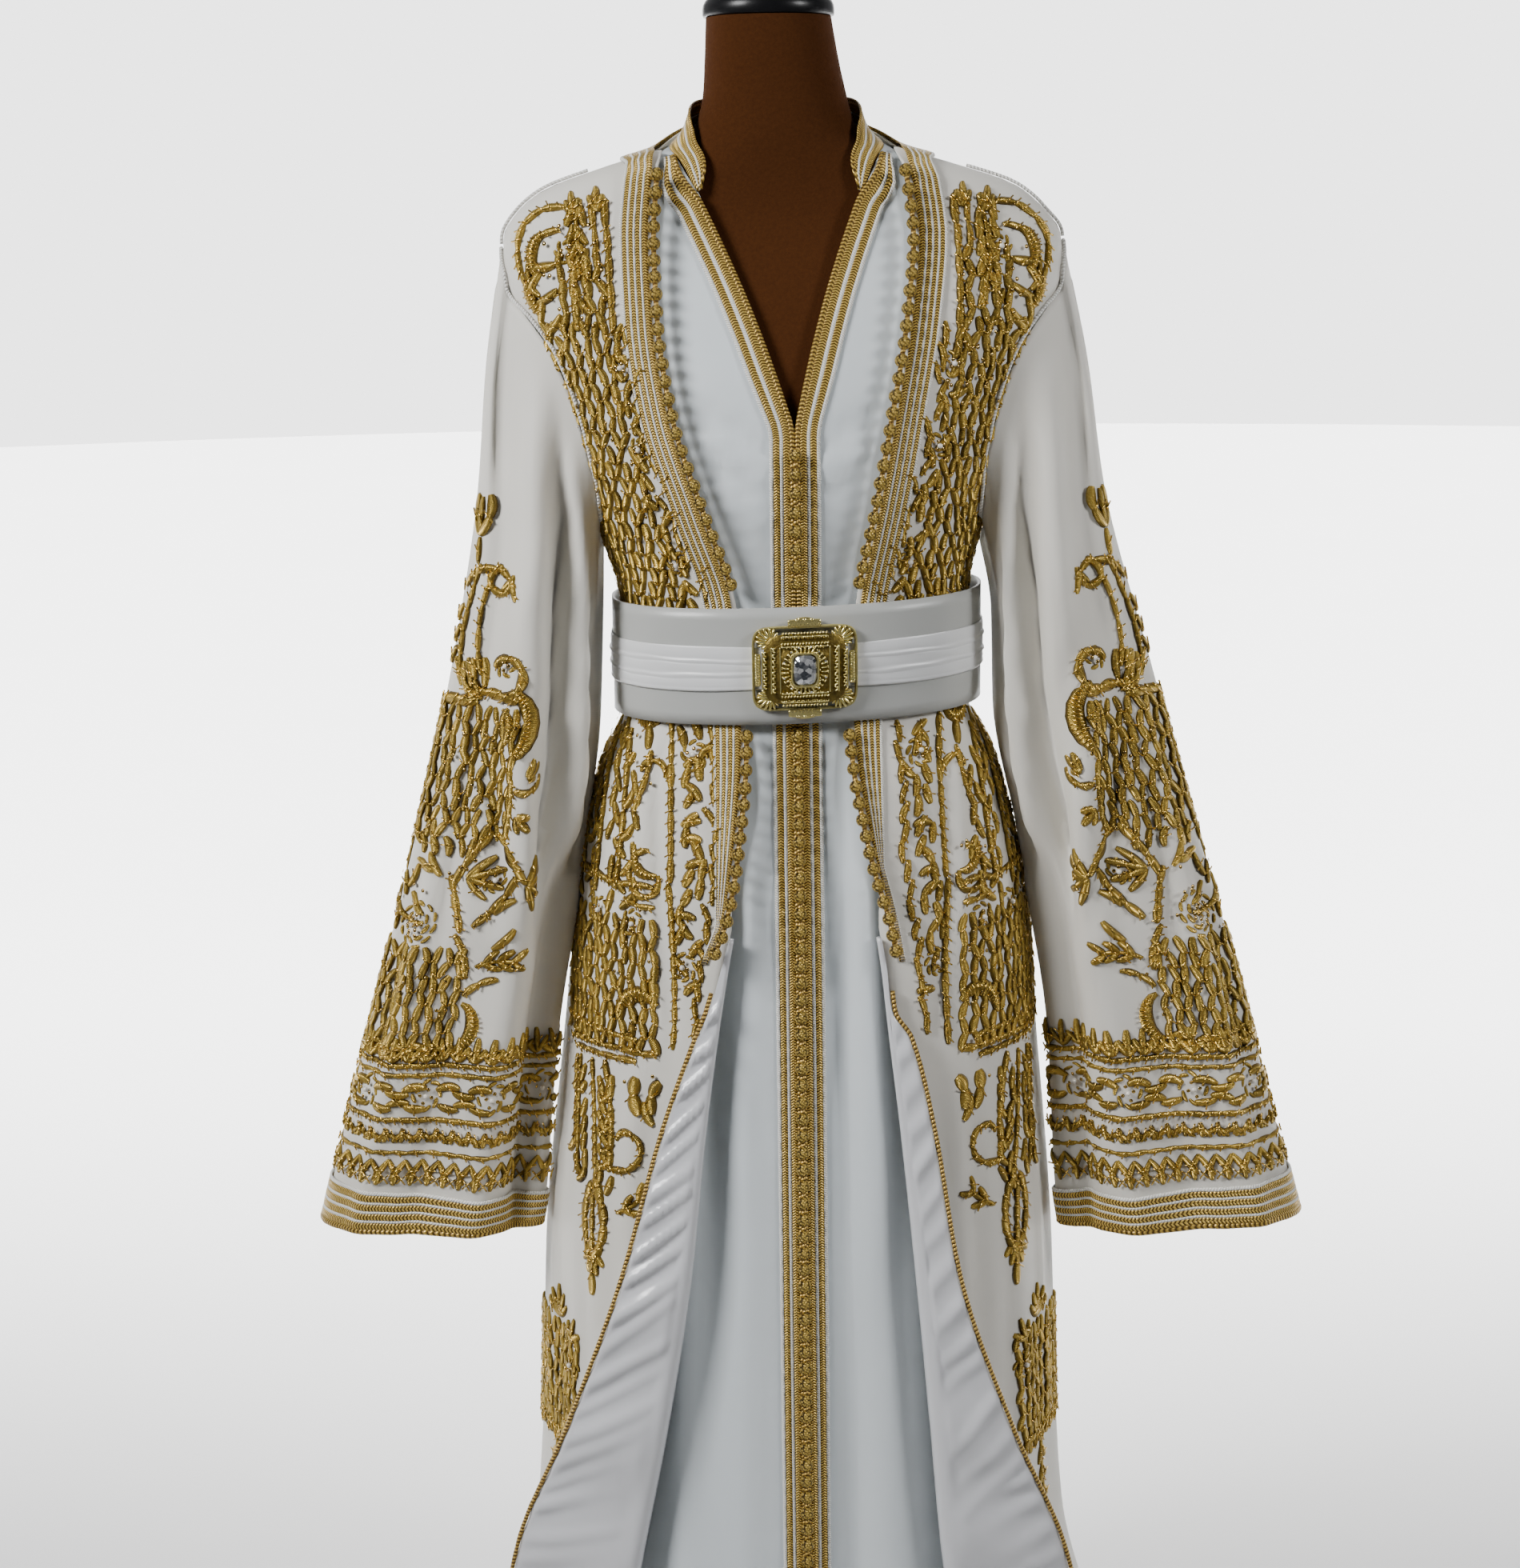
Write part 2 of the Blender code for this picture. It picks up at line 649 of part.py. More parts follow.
def beads(name, spots, radius, material, sides=4):
    """A row of knotted buttons on one thread: each bead has two rings, with the thread between beads."""
    shape = bmesh.new()
    spots = [np.array(spot) for spot in spots]
    rings = []

    def ring(centre, along, size):
        aside = np.cross(along, (0.0, 1.0, 0.0))
        aside /= np.linalg.norm(aside)
        outward = np.cross(along, aside)
        made = []
        for i in range(sides):
            angle = 2 * math.pi * i / sides
            reach = math.cos(angle) * aside + math.sin(angle) * outward
            made.append(shape.verts.new(centre + size * reach))
        rings.append(made)

    for i, spot in enumerate(spots):
        along = spots[min(i + 1, len(spots) - 1)] - spots[max(i - 1, 0)]
        along /= np.linalg.norm(along)
        ring(spot - along * radius * 0.95, along, radius * 0.25)
        ring(spot, along, radius)
    ring(spots[-1] + along * radius * 0.95, along, radius * 0.25)
    for lower, upper in zip(rings, rings[1:]):
        for i in range(sides):
            j = (i + 1) % sides
            shape.faces.new((lower[i], lower[j], upper[j], upper[i]))
    shape.faces.new(rings[0][::-1])
    shape.faces.new(rings[-1])
    bmesh.ops.recalc_face_normals(shape, faces=shape.faces)
    mesh = bpy.data.meshes.new(name)
    shape.to_mesh(mesh)
    shape.free()
    return thing_from(name, mesh, material)


def even_heights(low, high, pitch):
    count = int((high - low) / pitch)
    return [low + pitch * (i + 0.5) for i in range(count)]


BELT_CLEAR_LOW = 0.968
BELT_CLEAR_HIGH = 1.078


def make_dress_buttons():
    out = CLOTH + BAND_LIFT + BRAID + SEAM_GAP + BUTTON_DIAMETER * 0.5
    spans = {"lower": (HEM_HEIGHT + 0.010, BELT_CLEAR_LOW), "upper": (BELT_CLEAR_HIGH, V_FOOT_HEIGHT - 0.004)}
    for name, (low, high) in spans.items():
        spots = []
        for height in even_heights(low, high, DRESS_BUTTON_PITCH):
            spots.append(dress.point(dress.turn_at(PLACKET_CENTRE, height), height, out))
        beads(f"dress_buttons_{name}", spots, BUTTON_DIAMETER * 0.5, "gold_cord")


# The over-robe: back, two fronts, turned-back edges, sleeves, bands, buttons and cords

ROBE_SKIRT_MARKS = (0.15, 0.28, 0.41, 0.53, 0.64, 0.715, 0.775, 0.825, 0.875, 0.92)
ROBE_MARKS = (*ROBE_SKIRT_MARKS, 0.97, 1.03, 1.10, 1.14, 1.19, 1.23, 1.27)
ROBE_TOP_MARKS = (*ROBE_MARKS, 1.297, 1.322, 1.342, 1.358, 1.372, 1.383)
FOLD_TOP = 0.828
CORD_TOP = 0.780


def edge_column(side):
    return 0 if side < 0 else 1


def robe_edge_x(height, side):
    """X of the robe's front edge, just behind the middles of its buttons, where it isn't turned back."""
    return robe_line(height)[edge_column(side)] + side * EDGE_BEYOND_BUTTONS


def fold_x(height, side):
    """X of the fold and of the free edge of the turned-back front."""
    row = turnback(height)
    return (row[0], row[1]) if side < 0 else (row[2], row[3])


def robe_inner_turn(height, side):
    """Turn of a robe front's inner edge: behind the fold, then the open edge up to the shoulder."""
    if height < FOLD_TOP:
        across = fold_x(height, side)[0] + side * roll_radius(height)
    else:
        behind = fold_x(FOLD_TOP, side)[0] + side * roll_radius(FOLD_TOP)
        across = blend(behind, robe_edge_x(height, side), smooth_part((height - FOLD_TOP) / 0.050))
    return signed_turn(robe, across, height, side)


def make_robe_panels():
    heights = rows_between(HEM_HEIGHT, 1.3915, ROBE_TOP_MARKS)
    for name, side in SIDES.items():

        def front_place(u, v, side=side):
            height = along_marks(heights, v)
            inner = robe_inner_turn(height, side)
            outer = outer_turn(robe, height) - seam_turn(robe, height)
            part = u if side > 0 else 1.0 - u
            return robe.point(side * blend(inner, max(outer, inner + 0.004), part), height)

        cloth(f"robe_front_{name}", 8, len(heights) - 1, front_place, "crepe")
    make_back("robe_back", robe, ROBE_MARKS, robe_back_neck, ROBE_BACK_COLUMNS, "crepe")


def robe_back_neck(turn):
    """Heights of the neck band's outer and inner edge."""
    inner, outer = robe_neck(turn)
    return outer, inner


def roll_radius(height):
    """How round the turned-back front rolls at its fold."""
    return blend(0.0015, 0.0085, smooth_part((FOLD_TOP - height) / 0.40))


def turnback_point(height, side, along):
    """On the turned-back front: along 0 is behind the fold, 0.3 its front, 1 the free edge with its cord."""
    fold, edge = fold_x(height, side)
    radius = roll_radius(height)
    centre, half_width, front, _ = robe.rows(height)
    panel = robe.point(robe.turn_at(fold + side * radius, height), height, CLOTH)
    middle_y = panel[1] - 2.0 * SEAM_GAP - radius
    if along < 0.3:
        angle = math.pi * along / 0.3
        across = fold + side * radius * (1.0 - math.sin(angle))
        return np.array((across, middle_y + radius * math.cos(angle), height))
    part = (along - 0.3) / 0.7
    across = blend(fold + side * radius, edge, part)
    reach = abs(across - centre) / (half_width + 0.090)
    start = abs(fold + side * radius - centre) / (half_width + 0.090)
    curve = front * ((1.0 - start**2.4) ** (1 / 2.4) - (1.0 - min(reach, 0.98) ** 2.4) ** (1 / 2.4))
    return np.array((across, middle_y - radius + 0.85 * curve, height))


def make_turnbacks():
    heights = rows_between(HEM_HEIGHT + 0.002, 0.820, ROBE_MARKS)
    for name, side in SIDES.items():

        def place(u, v, side=side):
            height = along_marks(heights, v)
            part = u if side > 0 else 1.0 - u
            if part < 0.5:
                along = 0.3 * part / 0.5
            else:
                along = 0.3 + 0.7 * (part - 0.5) / 0.5
            return turnback_point(height, side, along)

        cloth(f"robe_turnback_{name}", 6, len(heights) - 1, place, "lining")
        points = []
        for height in (mark for mark in heights if mark < CORD_TOP):
            corner = turnback_point(height, side, 1.0)
            points.append(corner + np.array((side * 0.0027, -0.0006, 0.0)))
        cord(f"robe_edge_cord_{name}", points, 0.0016, "gold_cord", sides=0)


def armhole_point(side, angle, out):
    """The armhole seam on the robe, from the shoulder tip by way of the front to the underarm."""
    high = 0.5 * (1.0 + math.cos(angle))
    height = blend(UNDERARM_HEIGHT, SHOULDER_TIP_HEIGHT, high)
    turn = outer_turn(robe, height)
    if math.sin(angle) < 0:
        turn = math.pi - turn
    return robe.point(side * turn, height, out)


def armhole_cord_point(side, angle):
    """The cord lies on the panels, just beside the armhole seam."""
    here = armhole_point(side, angle, 0.0)
    out = (armhole_point(side, angle, 0.001) - here) / 0.001
    along = armhole_point(side, angle + 0.25, 0.0) - armhole_point(side, angle - 0.25, 0.0)
    aside = side * np.cross(along, out)
    aside /= np.linalg.norm(aside)
    return here + out * (CLOTH + 0.0019) + aside * 0.0036


sleeve_rows = {name: Curve(rows) for name, rows in SLEEVES.items()}


def sleeve_ring(name, angle, down):
    outer_x, outer_z, inner_x, inner_z, front, back, middle = sleeve_rows[name](down)
    across = signed_power(math.cos(angle), 0.9)
    deep = signed_power(math.sin(angle), 0.9)
    part = 0.5 * (1.0 - across)
    depth = front if deep > 0 else back
    return np.array((blend(outer_x, inner_x, part), middle - depth * deep, blend(outer_z, inner_z, part)))


def sleeve_point(name, side, angle, down):
    """On the sleeve's inside, from its outer line by way of the front to its inner line."""
    here = sleeve_ring(name, angle, down)
    seam = armhole_point(side, angle, 0.0)
    seam[0] += side * 0.0027
    start = sleeve_ring(name, angle, 0.0)
    return here + (seam - start) * (1.0 - smooth_part(down / 0.30))


def sleeve_out(name, side, angle, down, out):
    step = 0.01
    here = sleeve_point(name, side, angle, down)
    around = sleeve_point(name, side, angle + step, down) - sleeve_point(name, side, angle - step, down)
    low = min(down + step, 1.0)
    high = max(down - step, 0.0)
    along = sleeve_point(name, side, angle, low) - sleeve_point(name, side, angle, high)
    normal = np.cross(along, around) * -side
    return here + out * normal / np.linalg.norm(normal)


CUFF_BAND_TOP = 0.945
ARMHOLE_CORD_END = 148.0


def make_sleeves():
    around = 16
    for name, side in SIDES.items():

        def place(u, v, name=name, side=side):
            turn = 2 * math.pi * (u if side < 0 else 1.0 - u)
            return sleeve_point(name, side, turn, 1.0 - v)

        cloth(f"robe_sleeve_{name}", around, 11, place, "crepe", closed=True)

        def cuff_place(u, v, name=name, side=side):
            turn = 2 * math.pi * (u if side < 0 else 1.0 - u)
            return sleeve_out(name, side, turn, blend(1.0, CUFF_BAND_TOP, v), CLOTH + SEAM_GAP)

        cloth(f"robe_cuff_band_{name}", around, 1, cuff_place, "braid", BRAID, closed=True)
        ends = math.radians(ARMHOLE_CORD_END)
        seam = [armhole_cord_point(side, angle) for angle in np.linspace(-ends, ends, 25)]
        cord(f"armhole_cord_{name}", seam, 0.0013, "white_cord", sides=0)


def band_width(height, side):
    """The band narrows below the hip, where the front starts to roll over it."""
    narrow = abs(robe_edge_x(0.978, side) - robe_edge_x(min(height, 0.978), side))
    return max(ROBE_BAND_WIDTH - narrow, 0.0030)


def robe_band_edges(side):
    """Pairs of (turn, height) along the band's two edges, up the front and round to the back."""
    pairs = []
    for height in rows_between(0.800, 1.389, ROBE_TOP_MARKS):
        line = robe_line(height)[edge_column(side)]
        near = robe.turn_at(line + side * BAND_BEYOND_BUTTONS, height)
        low = height - 0.0085 * smooth_part((height - 1.345) / 0.048)
        far = robe.turn_at(line + side * (BAND_BEYOND_BUTTONS + band_width(height, side)), low)
        pairs.append(((near, height), (far, low)))
    for degrees in (*np.arange(90.0, 179.0, 180.0 / ROBE_BACK_COLUMNS), 179.8):
        inner, outer = robe_neck(degrees)
        pairs.append(((side * math.radians(degrees), inner), (side * math.radians(degrees), outer)))
    return pairs


def make_robe_bands():
    for name, side in SIDES.items():
        pairs = np.array(robe_band_edges(side))

        def place(u, v, side=side, pairs=pairs):
            spot = v * (len(pairs) - 1)
            index = min(int(spot + 1e-6), len(pairs) - 2)
            near, far = blend(pairs[index], pairs[index + 1], spot - index)
            turn, height = blend(near, far, u if side > 0 else 1.0 - u)
            lift = BAND_LIFT + 0.0014 * smooth_part((height - 1.345) / 0.030)
            return robe.point(turn, height, CLOTH + lift)

        cloth(f"robe_band_{name}", 2, len(pairs) - 1, place, "braid", BRAID)


def make_robe_buttons():
    """Over the belt they lie on the open edge, and below it they come forward with the rolled front."""
    spans = {"lower": (0.800, BELT_CLEAR_LOW), "upper": (BELT_CLEAR_HIGH, 1.384)}
    for name, side in SIDES.items():
        for part, (low, high) in spans.items():
            spots = []
            for height in even_heights(low, high, ROBE_BUTTON_PITCH):
                across = robe_line(height)[edge_column(side)]
                forward = 0.0080 * smooth_part((0.870 - height) / 0.040)
                out = CLOTH + 0.4 * SEAM_GAP + BUTTON_DIAMETER * 0.5 + forward
                spots.append(robe.point(robe.turn_at(across, height), height, out))
            beads(f"robe_buttons_{name}_{part}", spots, BUTTON_DIAMETER * 0.5, "gold_cord")


def make_shoulder_cords():
    for name, side in SIDES.items():
        points = []
        for height in (1.3765, 1.370, 1.362, 1.352, 1.342, 1.334):
            points.append(robe.point(side * math.pi / 2, height, CLOTH + 0.0016))
        cord(f"shoulder_cord_{name}", points, 0.0013, "white_cord", sides=0)


# The belt: a stiff covered band, a strip of three pleats round its middle, and a cast buckle

BELT_CLEARANCE = 0.0008
BELT_SECTIONS = (
    (0.900, 0.008, 0.1393, 0.0993, 0.0998),
    (1.140, 0.008, 0.1393, 0.0993, 0.0998),
)
belt = Layer(BELT_SECTIONS)


def belt_point(turn, up, out=0.0):
    """On the belt's inside, at a height above its own middle, with its small tilt up to the right."""
    place = belt.point(turn, BELT_MIDDLE + up, out)
    place[2] += math.tan(BELT_TILT) * (place[0] - belt.rows(BELT_MIDDLE)[0])
    return place


PLEAT_PROFILE = (
    (0.00, 0.0000),
    (0.25, 0.0006),
    (0.50, 0.0000),
    (0.75, 0.0006),
    (1.00, 0.0000),
)


def make_belt():
    def band_place(u, v):
        return belt_point(2 * math.pi * u, BELT_HEIGHT * (v - 0.5), BELT_CLEARANCE)

    cloth("belt_band", 30, 1, band_place, "belt", BELT_THICKNESS, closed=True)
    pleat = Curve(PLEAT_PROFILE)

    def pleat_place(u, v):
        out = BELT_CLEARANCE + BELT_THICKNESS + SEAM_GAP + pleat(v)[0]
        return belt_point(2 * math.pi * u, PLEAT_STRIP_HEIGHT * (v - 0.5) - 0.001, out)

    cloth("belt_pleats", 30, 4, pleat_place, "pleats", 0.0010, closed=True)


BUCKLE_BACK = BELT_CLEARANCE + BELT_THICKNESS + SEAM_GAP + 0.0006 + 0.0010 + SEAM_GAP
FRAME_THICKNESS = 0.0035
FRAME_RIM = 0.0090
DOME_HALF_WIDTH = 0.0270
DOME_HALF_HEIGHT = 0.0265
CRYSTAL_HALF_WIDTH = 0.0083
CRYSTAL_HALF_HEIGHT = 0.0113


def buckle_place(across, up, out):
    """Bends the flat buckle round the belt's front."""
    turn = belt.turn_at(BUCKLE_CENTRE + across, BELT_MIDDLE)
    return belt_point(turn, up - 0.001, BUCKLE_BACK + out)


def rounded_outline(half_width, half_height, corner, steps=4):
    """Points round a rectangle with round corners, the same number whatever its size."""
    points = []
    for quarter in range(4):
        centre_x = (half_width - corner) * (1, -1, -1, 1)[quarter]
        centre_y = (half_height - corner) * (1, 1, -1, -1)[quarter]
        for i in range(steps + 1):
            angle = math.pi / 2 * (quarter + i / steps)
            points.append((centre_x + corner * math.cos(angle), centre_y + corner * math.sin(angle)))
    return points


def stacked(name, outlines, material, opened=False):
    """A solid through outlines, each a (points, out) pair; opened joins the last ring to the first."""
    shape = bmesh.new()
    rings = []
    for points, out in outlines:
        rings.append([shape.verts.new(buckle_place(x, y, out)) for x, y in points])
    pairs = list(zip(rings, rings[1:]))
    if opened:
        pairs.append((rings[-1], rings[0]))
    for lower, upper in pairs:
        for i in range(len(lower)):
            j = (i + 1) % len(lower)
            shape.faces.new((lower[i], lower[j], upper[j], upper[i]))
    if not opened:
        shape.faces.new(rings[0][::-1])
        shape.faces.new(rings[-1])
    bmesh.ops.recalc_face_normals(shape, faces=shape.faces)
    mesh = bpy.data.meshes.new(name)
    shape.to_mesh(mesh)
    shape.free()
    return thing_from(name, mesh, material)


def make_buckle():
    half_width = BUCKLE_WIDTH * 0.5
    half_height = BUCKLE_HEIGHT * 0.5 - 0.004
    outer = rounded_outline(half_width, half_height, 0.010)
    inner = rounded_outline(half_width - FRAME_RIM, half_height - FRAME_RIM, 0.006)
    stacked(
        "buckle_frame",
        [(outer, 0.0), (outer, FRAME_THICKNESS), (inner, FRAME_THICKNESS), (inner, 0.0)],
        "buckle",
        opened=True,
    )
    steps = ((0.0, FRAME_THICKNESS + 0.0011), (0.0, 0.0066), (0.0060, 0.0081), (0.0130, 0.0108))
    outlines = []
    for inset, out in steps:
        outline = rounded_outline(DOME_HALF_WIDTH + 0.003 - inset, DOME_HALF_HEIGHT - inset, 0.005)
        outlines.append((outline, out))
    stacked("buckle_dome", outlines, "buckle")
    bezel_out = steps[-1][1] + SEAM_GAP
    seat = rounded_outline(CRYSTAL_HALF_WIDTH + 0.0018, CRYSTAL_HALF_HEIGHT + 0.0018, 0.0035, 2)
    hole = rounded_outline(CRYSTAL_HALF_WIDTH + 0.0003, CRYSTAL_HALF_HEIGHT + 0.0003, 0.0030, 2)
    rim_out = bezel_out + 0.0022
    rim = [(seat, bezel_out), (seat, rim_out), (hole, rim_out), (hole, bezel_out)]
    stacked("buckle_bezel", rim, "buckle", opened=True)
    stone = rounded_outline(CRYSTAL_HALF_WIDTH, CRYSTAL_HALF_HEIGHT, 0.0030, 2)
    table = rounded_outline(CRYSTAL_HALF_WIDTH * 0.55, CRYSTAL_HALF_HEIGHT * 0.62, 0.0012, 2)
    cut = [(stone, bezel_out), (stone, bezel_out + 0.0014), (table, bezel_out + 0.0040)]
    stacked("buckle_crystal", cut, "crystal")
    for name, side in (("top", 1.0), ("bottom", -1.0)):
        tab = [(x, y + side * (half_height + 0.0031)) for x, y in rounded_outline(0.0125, 0.0028, 0.0020, 2)]
        stacked(f"buckle_tab_{name}", [(tab, 0.0), (tab, 0.0045)], "buckle")


make_form()
make_stand()
make_dress()
make_collar()
make_dress_bands()
make_dress_buttons()
make_robe_panels()
make_turnbacks()
make_sleeves()
make_robe_bands()
make_robe_buttons()
make_shoulder_cords()
make_belt()
make_buckle()
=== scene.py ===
import math

import bmesh
import bpy
import numpy as np
from mathutils import Matrix, Vector


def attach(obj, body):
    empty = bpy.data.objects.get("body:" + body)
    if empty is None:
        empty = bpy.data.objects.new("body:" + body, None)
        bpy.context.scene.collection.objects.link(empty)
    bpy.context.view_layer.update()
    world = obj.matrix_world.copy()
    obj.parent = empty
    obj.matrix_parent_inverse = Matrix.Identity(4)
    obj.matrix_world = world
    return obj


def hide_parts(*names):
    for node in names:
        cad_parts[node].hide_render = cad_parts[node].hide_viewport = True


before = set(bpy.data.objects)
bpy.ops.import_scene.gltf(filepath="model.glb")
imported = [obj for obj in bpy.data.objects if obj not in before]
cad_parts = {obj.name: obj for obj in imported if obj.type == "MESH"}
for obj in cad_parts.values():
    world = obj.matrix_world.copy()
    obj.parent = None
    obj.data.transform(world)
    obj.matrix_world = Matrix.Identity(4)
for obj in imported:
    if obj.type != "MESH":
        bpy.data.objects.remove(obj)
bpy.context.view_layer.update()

# Camera: the photograph's own view, from a little above the belt, tipped down and turned very slightly.
view_pitch = math.radians(13.07)
view_roll = math.radians(0.8)
view_lens = 3100 / 1960 * 36
view_place = Vector((-0.022, -1.9, 1.35))

view_data = bpy.data.cameras.new("view")
view_data.sensor_width = 36
view_data.lens = view_lens
view_camera = bpy.data.objects.new("view", view_data)
bpy.context.scene.collection.objects.link(view_camera)
view_turn = Matrix.Rotation(math.pi / 2 - view_pitch, 4, "X") @ Matrix.Rotation(-view_roll, 4, "Z")
view_camera.matrix_world = Matrix.Translation(view_place) @ view_turn
bpy.context.scene.camera = view_camera


# Stand: a round steel base with a collared pole, both turned and painted dark, which carry the form.
base_radius = 0.15
base_thickness = 0.014
pole_radius = 0.016
form_bottom = 0.715
seam_gap = 0.0003


def shader_of(made):
    return made.node_tree.nodes["Principled BSDF"]


def finish(name, colour, roughness, metallic=0, **values):
    """A new finish whose shader holds its colour, roughness, metal and other named values."""
    made = bpy.data.materials.new(name)
    made.use_nodes = True
    values.update(Base_Color=(*colour, 1), Roughness=roughness, Metallic=metallic)
    for socket, value in values.items():
        shader_of(made).inputs[socket.replace("_", " ")].default_value = value
    return made


def node(made, kind, settings=(), **values):
    """A node of a finish, with its settings and the values of its named inputs."""
    new = made.node_tree.nodes.new(kind)
    for name, value in dict(settings).items():
        setattr(new, name, value)
    for name, value in values.items():
        new.inputs[name.replace("_", " ")].default_value = value
    return new


def wire(made, start, end):
    made.node_tree.links.new(start, end)


def maths(made, operation, *values):
    """A sum of numbers and other nodes' outputs."""
    total = node(made, "ShaderNodeMath", {"operation": operation})
    for socket, value in zip(total.inputs, values):
        if isinstance(value, float):
            socket.default_value = value
        else:
            wire(made, value, socket)
    return total.outputs[0]


def object_spots(made):
    return node(made, "ShaderNodeTexCoord").outputs["Object"]


def grain(made, scale, detail=2, roughness=0.5, spots=None):
    """Soft uneven spots through the piece, as a value from 0 to 1."""
    noise = node(made, "ShaderNodeTexNoise", Scale=scale, Detail=detail, Roughness=roughness)
    wire(made, spots or object_spots(made), noise.inputs["Vector"])
    return noise.outputs["Fac"]


def between(made, value, low, high):
    """The value of a pattern cut down to the part between low and high, as 0 to 1."""
    cut = node(made, "ShaderNodeMapRange", From_Min=low, From_Max=high)
    wire(made, value, cut.inputs["Value"])
    return cut.outputs["Result"]


def two_tone(made, value, first, second):
    """Colours the finish from first to second by a pattern's value."""
    mix = node(made, "ShaderNodeMix", {"data_type": "RGBA"})
    mix.inputs[6].default_value = (*first, 1)
    mix.inputs[7].default_value = (*second, 1)
    wire(made, value, mix.inputs["Factor"])
    wire(made, mix.outputs[2], shader_of(made).inputs["Base Color"])


def relief(made, value, distance, strength=1):
    """Presses a pattern into the finish's surface, on top of any pressed before."""
    bump = node(made, "ShaderNodeBump", Distance=distance, Strength=strength)
    wire(made, value, bump.inputs["Height"])
    normal = shader_of(made).inputs["Normal"]
    if normal.links:
        wire(made, normal.links[0].from_socket, bump.inputs["Normal"])
    wire(made, bump.outputs["Normal"], normal)


def speckled(name, dark, light, roughness, metallic, spots, pressed, **values):
    """A finish in two near tones by soft spots. Pressed is a fine grain, its depth and its strength."""
    made = finish(name, light, roughness, metallic, **values)
    two_tone(made, grain(made, *spots), dark, light)
    fineness, depth, strength = pressed
    relief(made, grain(made, *fineness), depth, strength)
    return made


def thing_of(name, mesh, made, slot, *nodes):
    """A piece that rides on the garment and stands for CAD nodes."""
    piece = bpy.data.objects.new(name, mesh)
    bpy.context.scene.collection.objects.link(piece)
    for one in made if isinstance(made, (list, tuple)) else [made]:
        mesh.materials.append(one)
    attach(piece, "root")
    if nodes:
        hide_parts(*nodes)
    return piece


def mesh_of(name, shape):
    """The mesh of a shape, which is used up."""
    mesh = bpy.data.meshes.new(name)
    shape.to_mesh(mesh)
    shape.free()
    return mesh


def got(items, what, width=1, kind=float):
    """The items' values in rows."""
    values = np.empty(len(items) * width, kind)
    items.foreach_get(what, values)
    return values.reshape(-1, width) if width > 1 else values


def put(items, what, values, kind=np.float32):
    items.foreach_set(what, np.asarray(values).astype(kind).ravel())


def mend(mesh, weld=0, tiny=0, fill=False, outward=False):
    """Welds doubled corners, drops tiny edges, fills open ends and turns the faces outwards."""
    shape = bmesh.new()
    shape.from_mesh(mesh)
    if weld:
        bmesh.ops.remove_doubles(shape, verts=shape.verts, dist=weld)
    if tiny:
        bmesh.ops.dissolve_degenerate(shape, edges=shape.edges, dist=tiny)
    if fill:
        bmesh.ops.holes_fill(shape, edges=[edge for edge in shape.edges if edge.is_boundary], sides=0)
    if outward:
        bmesh.ops.recalc_face_normals(shape, faces=shape.faces)
    shape.to_mesh(mesh)
    shape.free()


def turned(name, profile, centre, steps, made, slot, *nodes):
    """A piece turned about an upright axis from radius and height pairs that start and end on the axis."""
    shape = bmesh.new()
    corners = [shape.verts.new((radius, 0, height)) for radius, height in profile]
    edges = [shape.edges.new(pair) for pair in zip(corners, corners[1:])]
    bmesh.ops.spin(
        shape, geom=corners + edges, cent=(0, 0, 0), axis=(0, 0, 1),
        angle=2 * math.pi, steps=steps, use_merge=True,
    )
    bmesh.ops.remove_doubles(shape, verts=shape.verts, dist=1e-6)
    bmesh.ops.translate(shape, verts=shape.verts, vec=centre)
    bmesh.ops.recalc_face_normals(shape, faces=shape.faces)
    mesh = mesh_of(name, shape)
    mesh.shade_smooth()
    mesh.set_sharp_from_angle(angle=math.radians(35))
    thing_of(name, mesh, made, slot, *nodes)


stand_paint = speckled(
    "stand_paint", (0.04, 0.04, 0.045), (0.07, 0.07, 0.075), 0.38, 0.6, (40, 4),
    ((1500,), 0.0001, 0.4),
)
base_profile = (
    (0, 0), (base_radius - 0.001, 0), (base_radius, 0.001), (base_radius, 0.005),
    (base_radius - 0.001, 0.0068), (base_radius - 0.006, 0.01), (0.05, base_thickness),
    (0, base_thickness),
)
turned("stand_base", base_profile, (0, 0, 0), 96, stand_paint, "stand", "form_base")
pole_foot = base_thickness + seam_gap
pole_profile = (
    (0, pole_foot), (pole_radius * 1.9, pole_foot), (pole_radius * 1.9, pole_foot + 0.008),
    (pole_radius * 1.5, pole_foot + 0.014), (pole_radius * 1.05, pole_foot + 0.028),
    (pole_radius, pole_foot + 0.034), (pole_radius, form_bottom - seam_gap), (0, form_bottom - seam_gap),
)
turned("stand_pole", pole_profile, (0, 0, 0), 40, stand_paint, "stand", "form_pole")


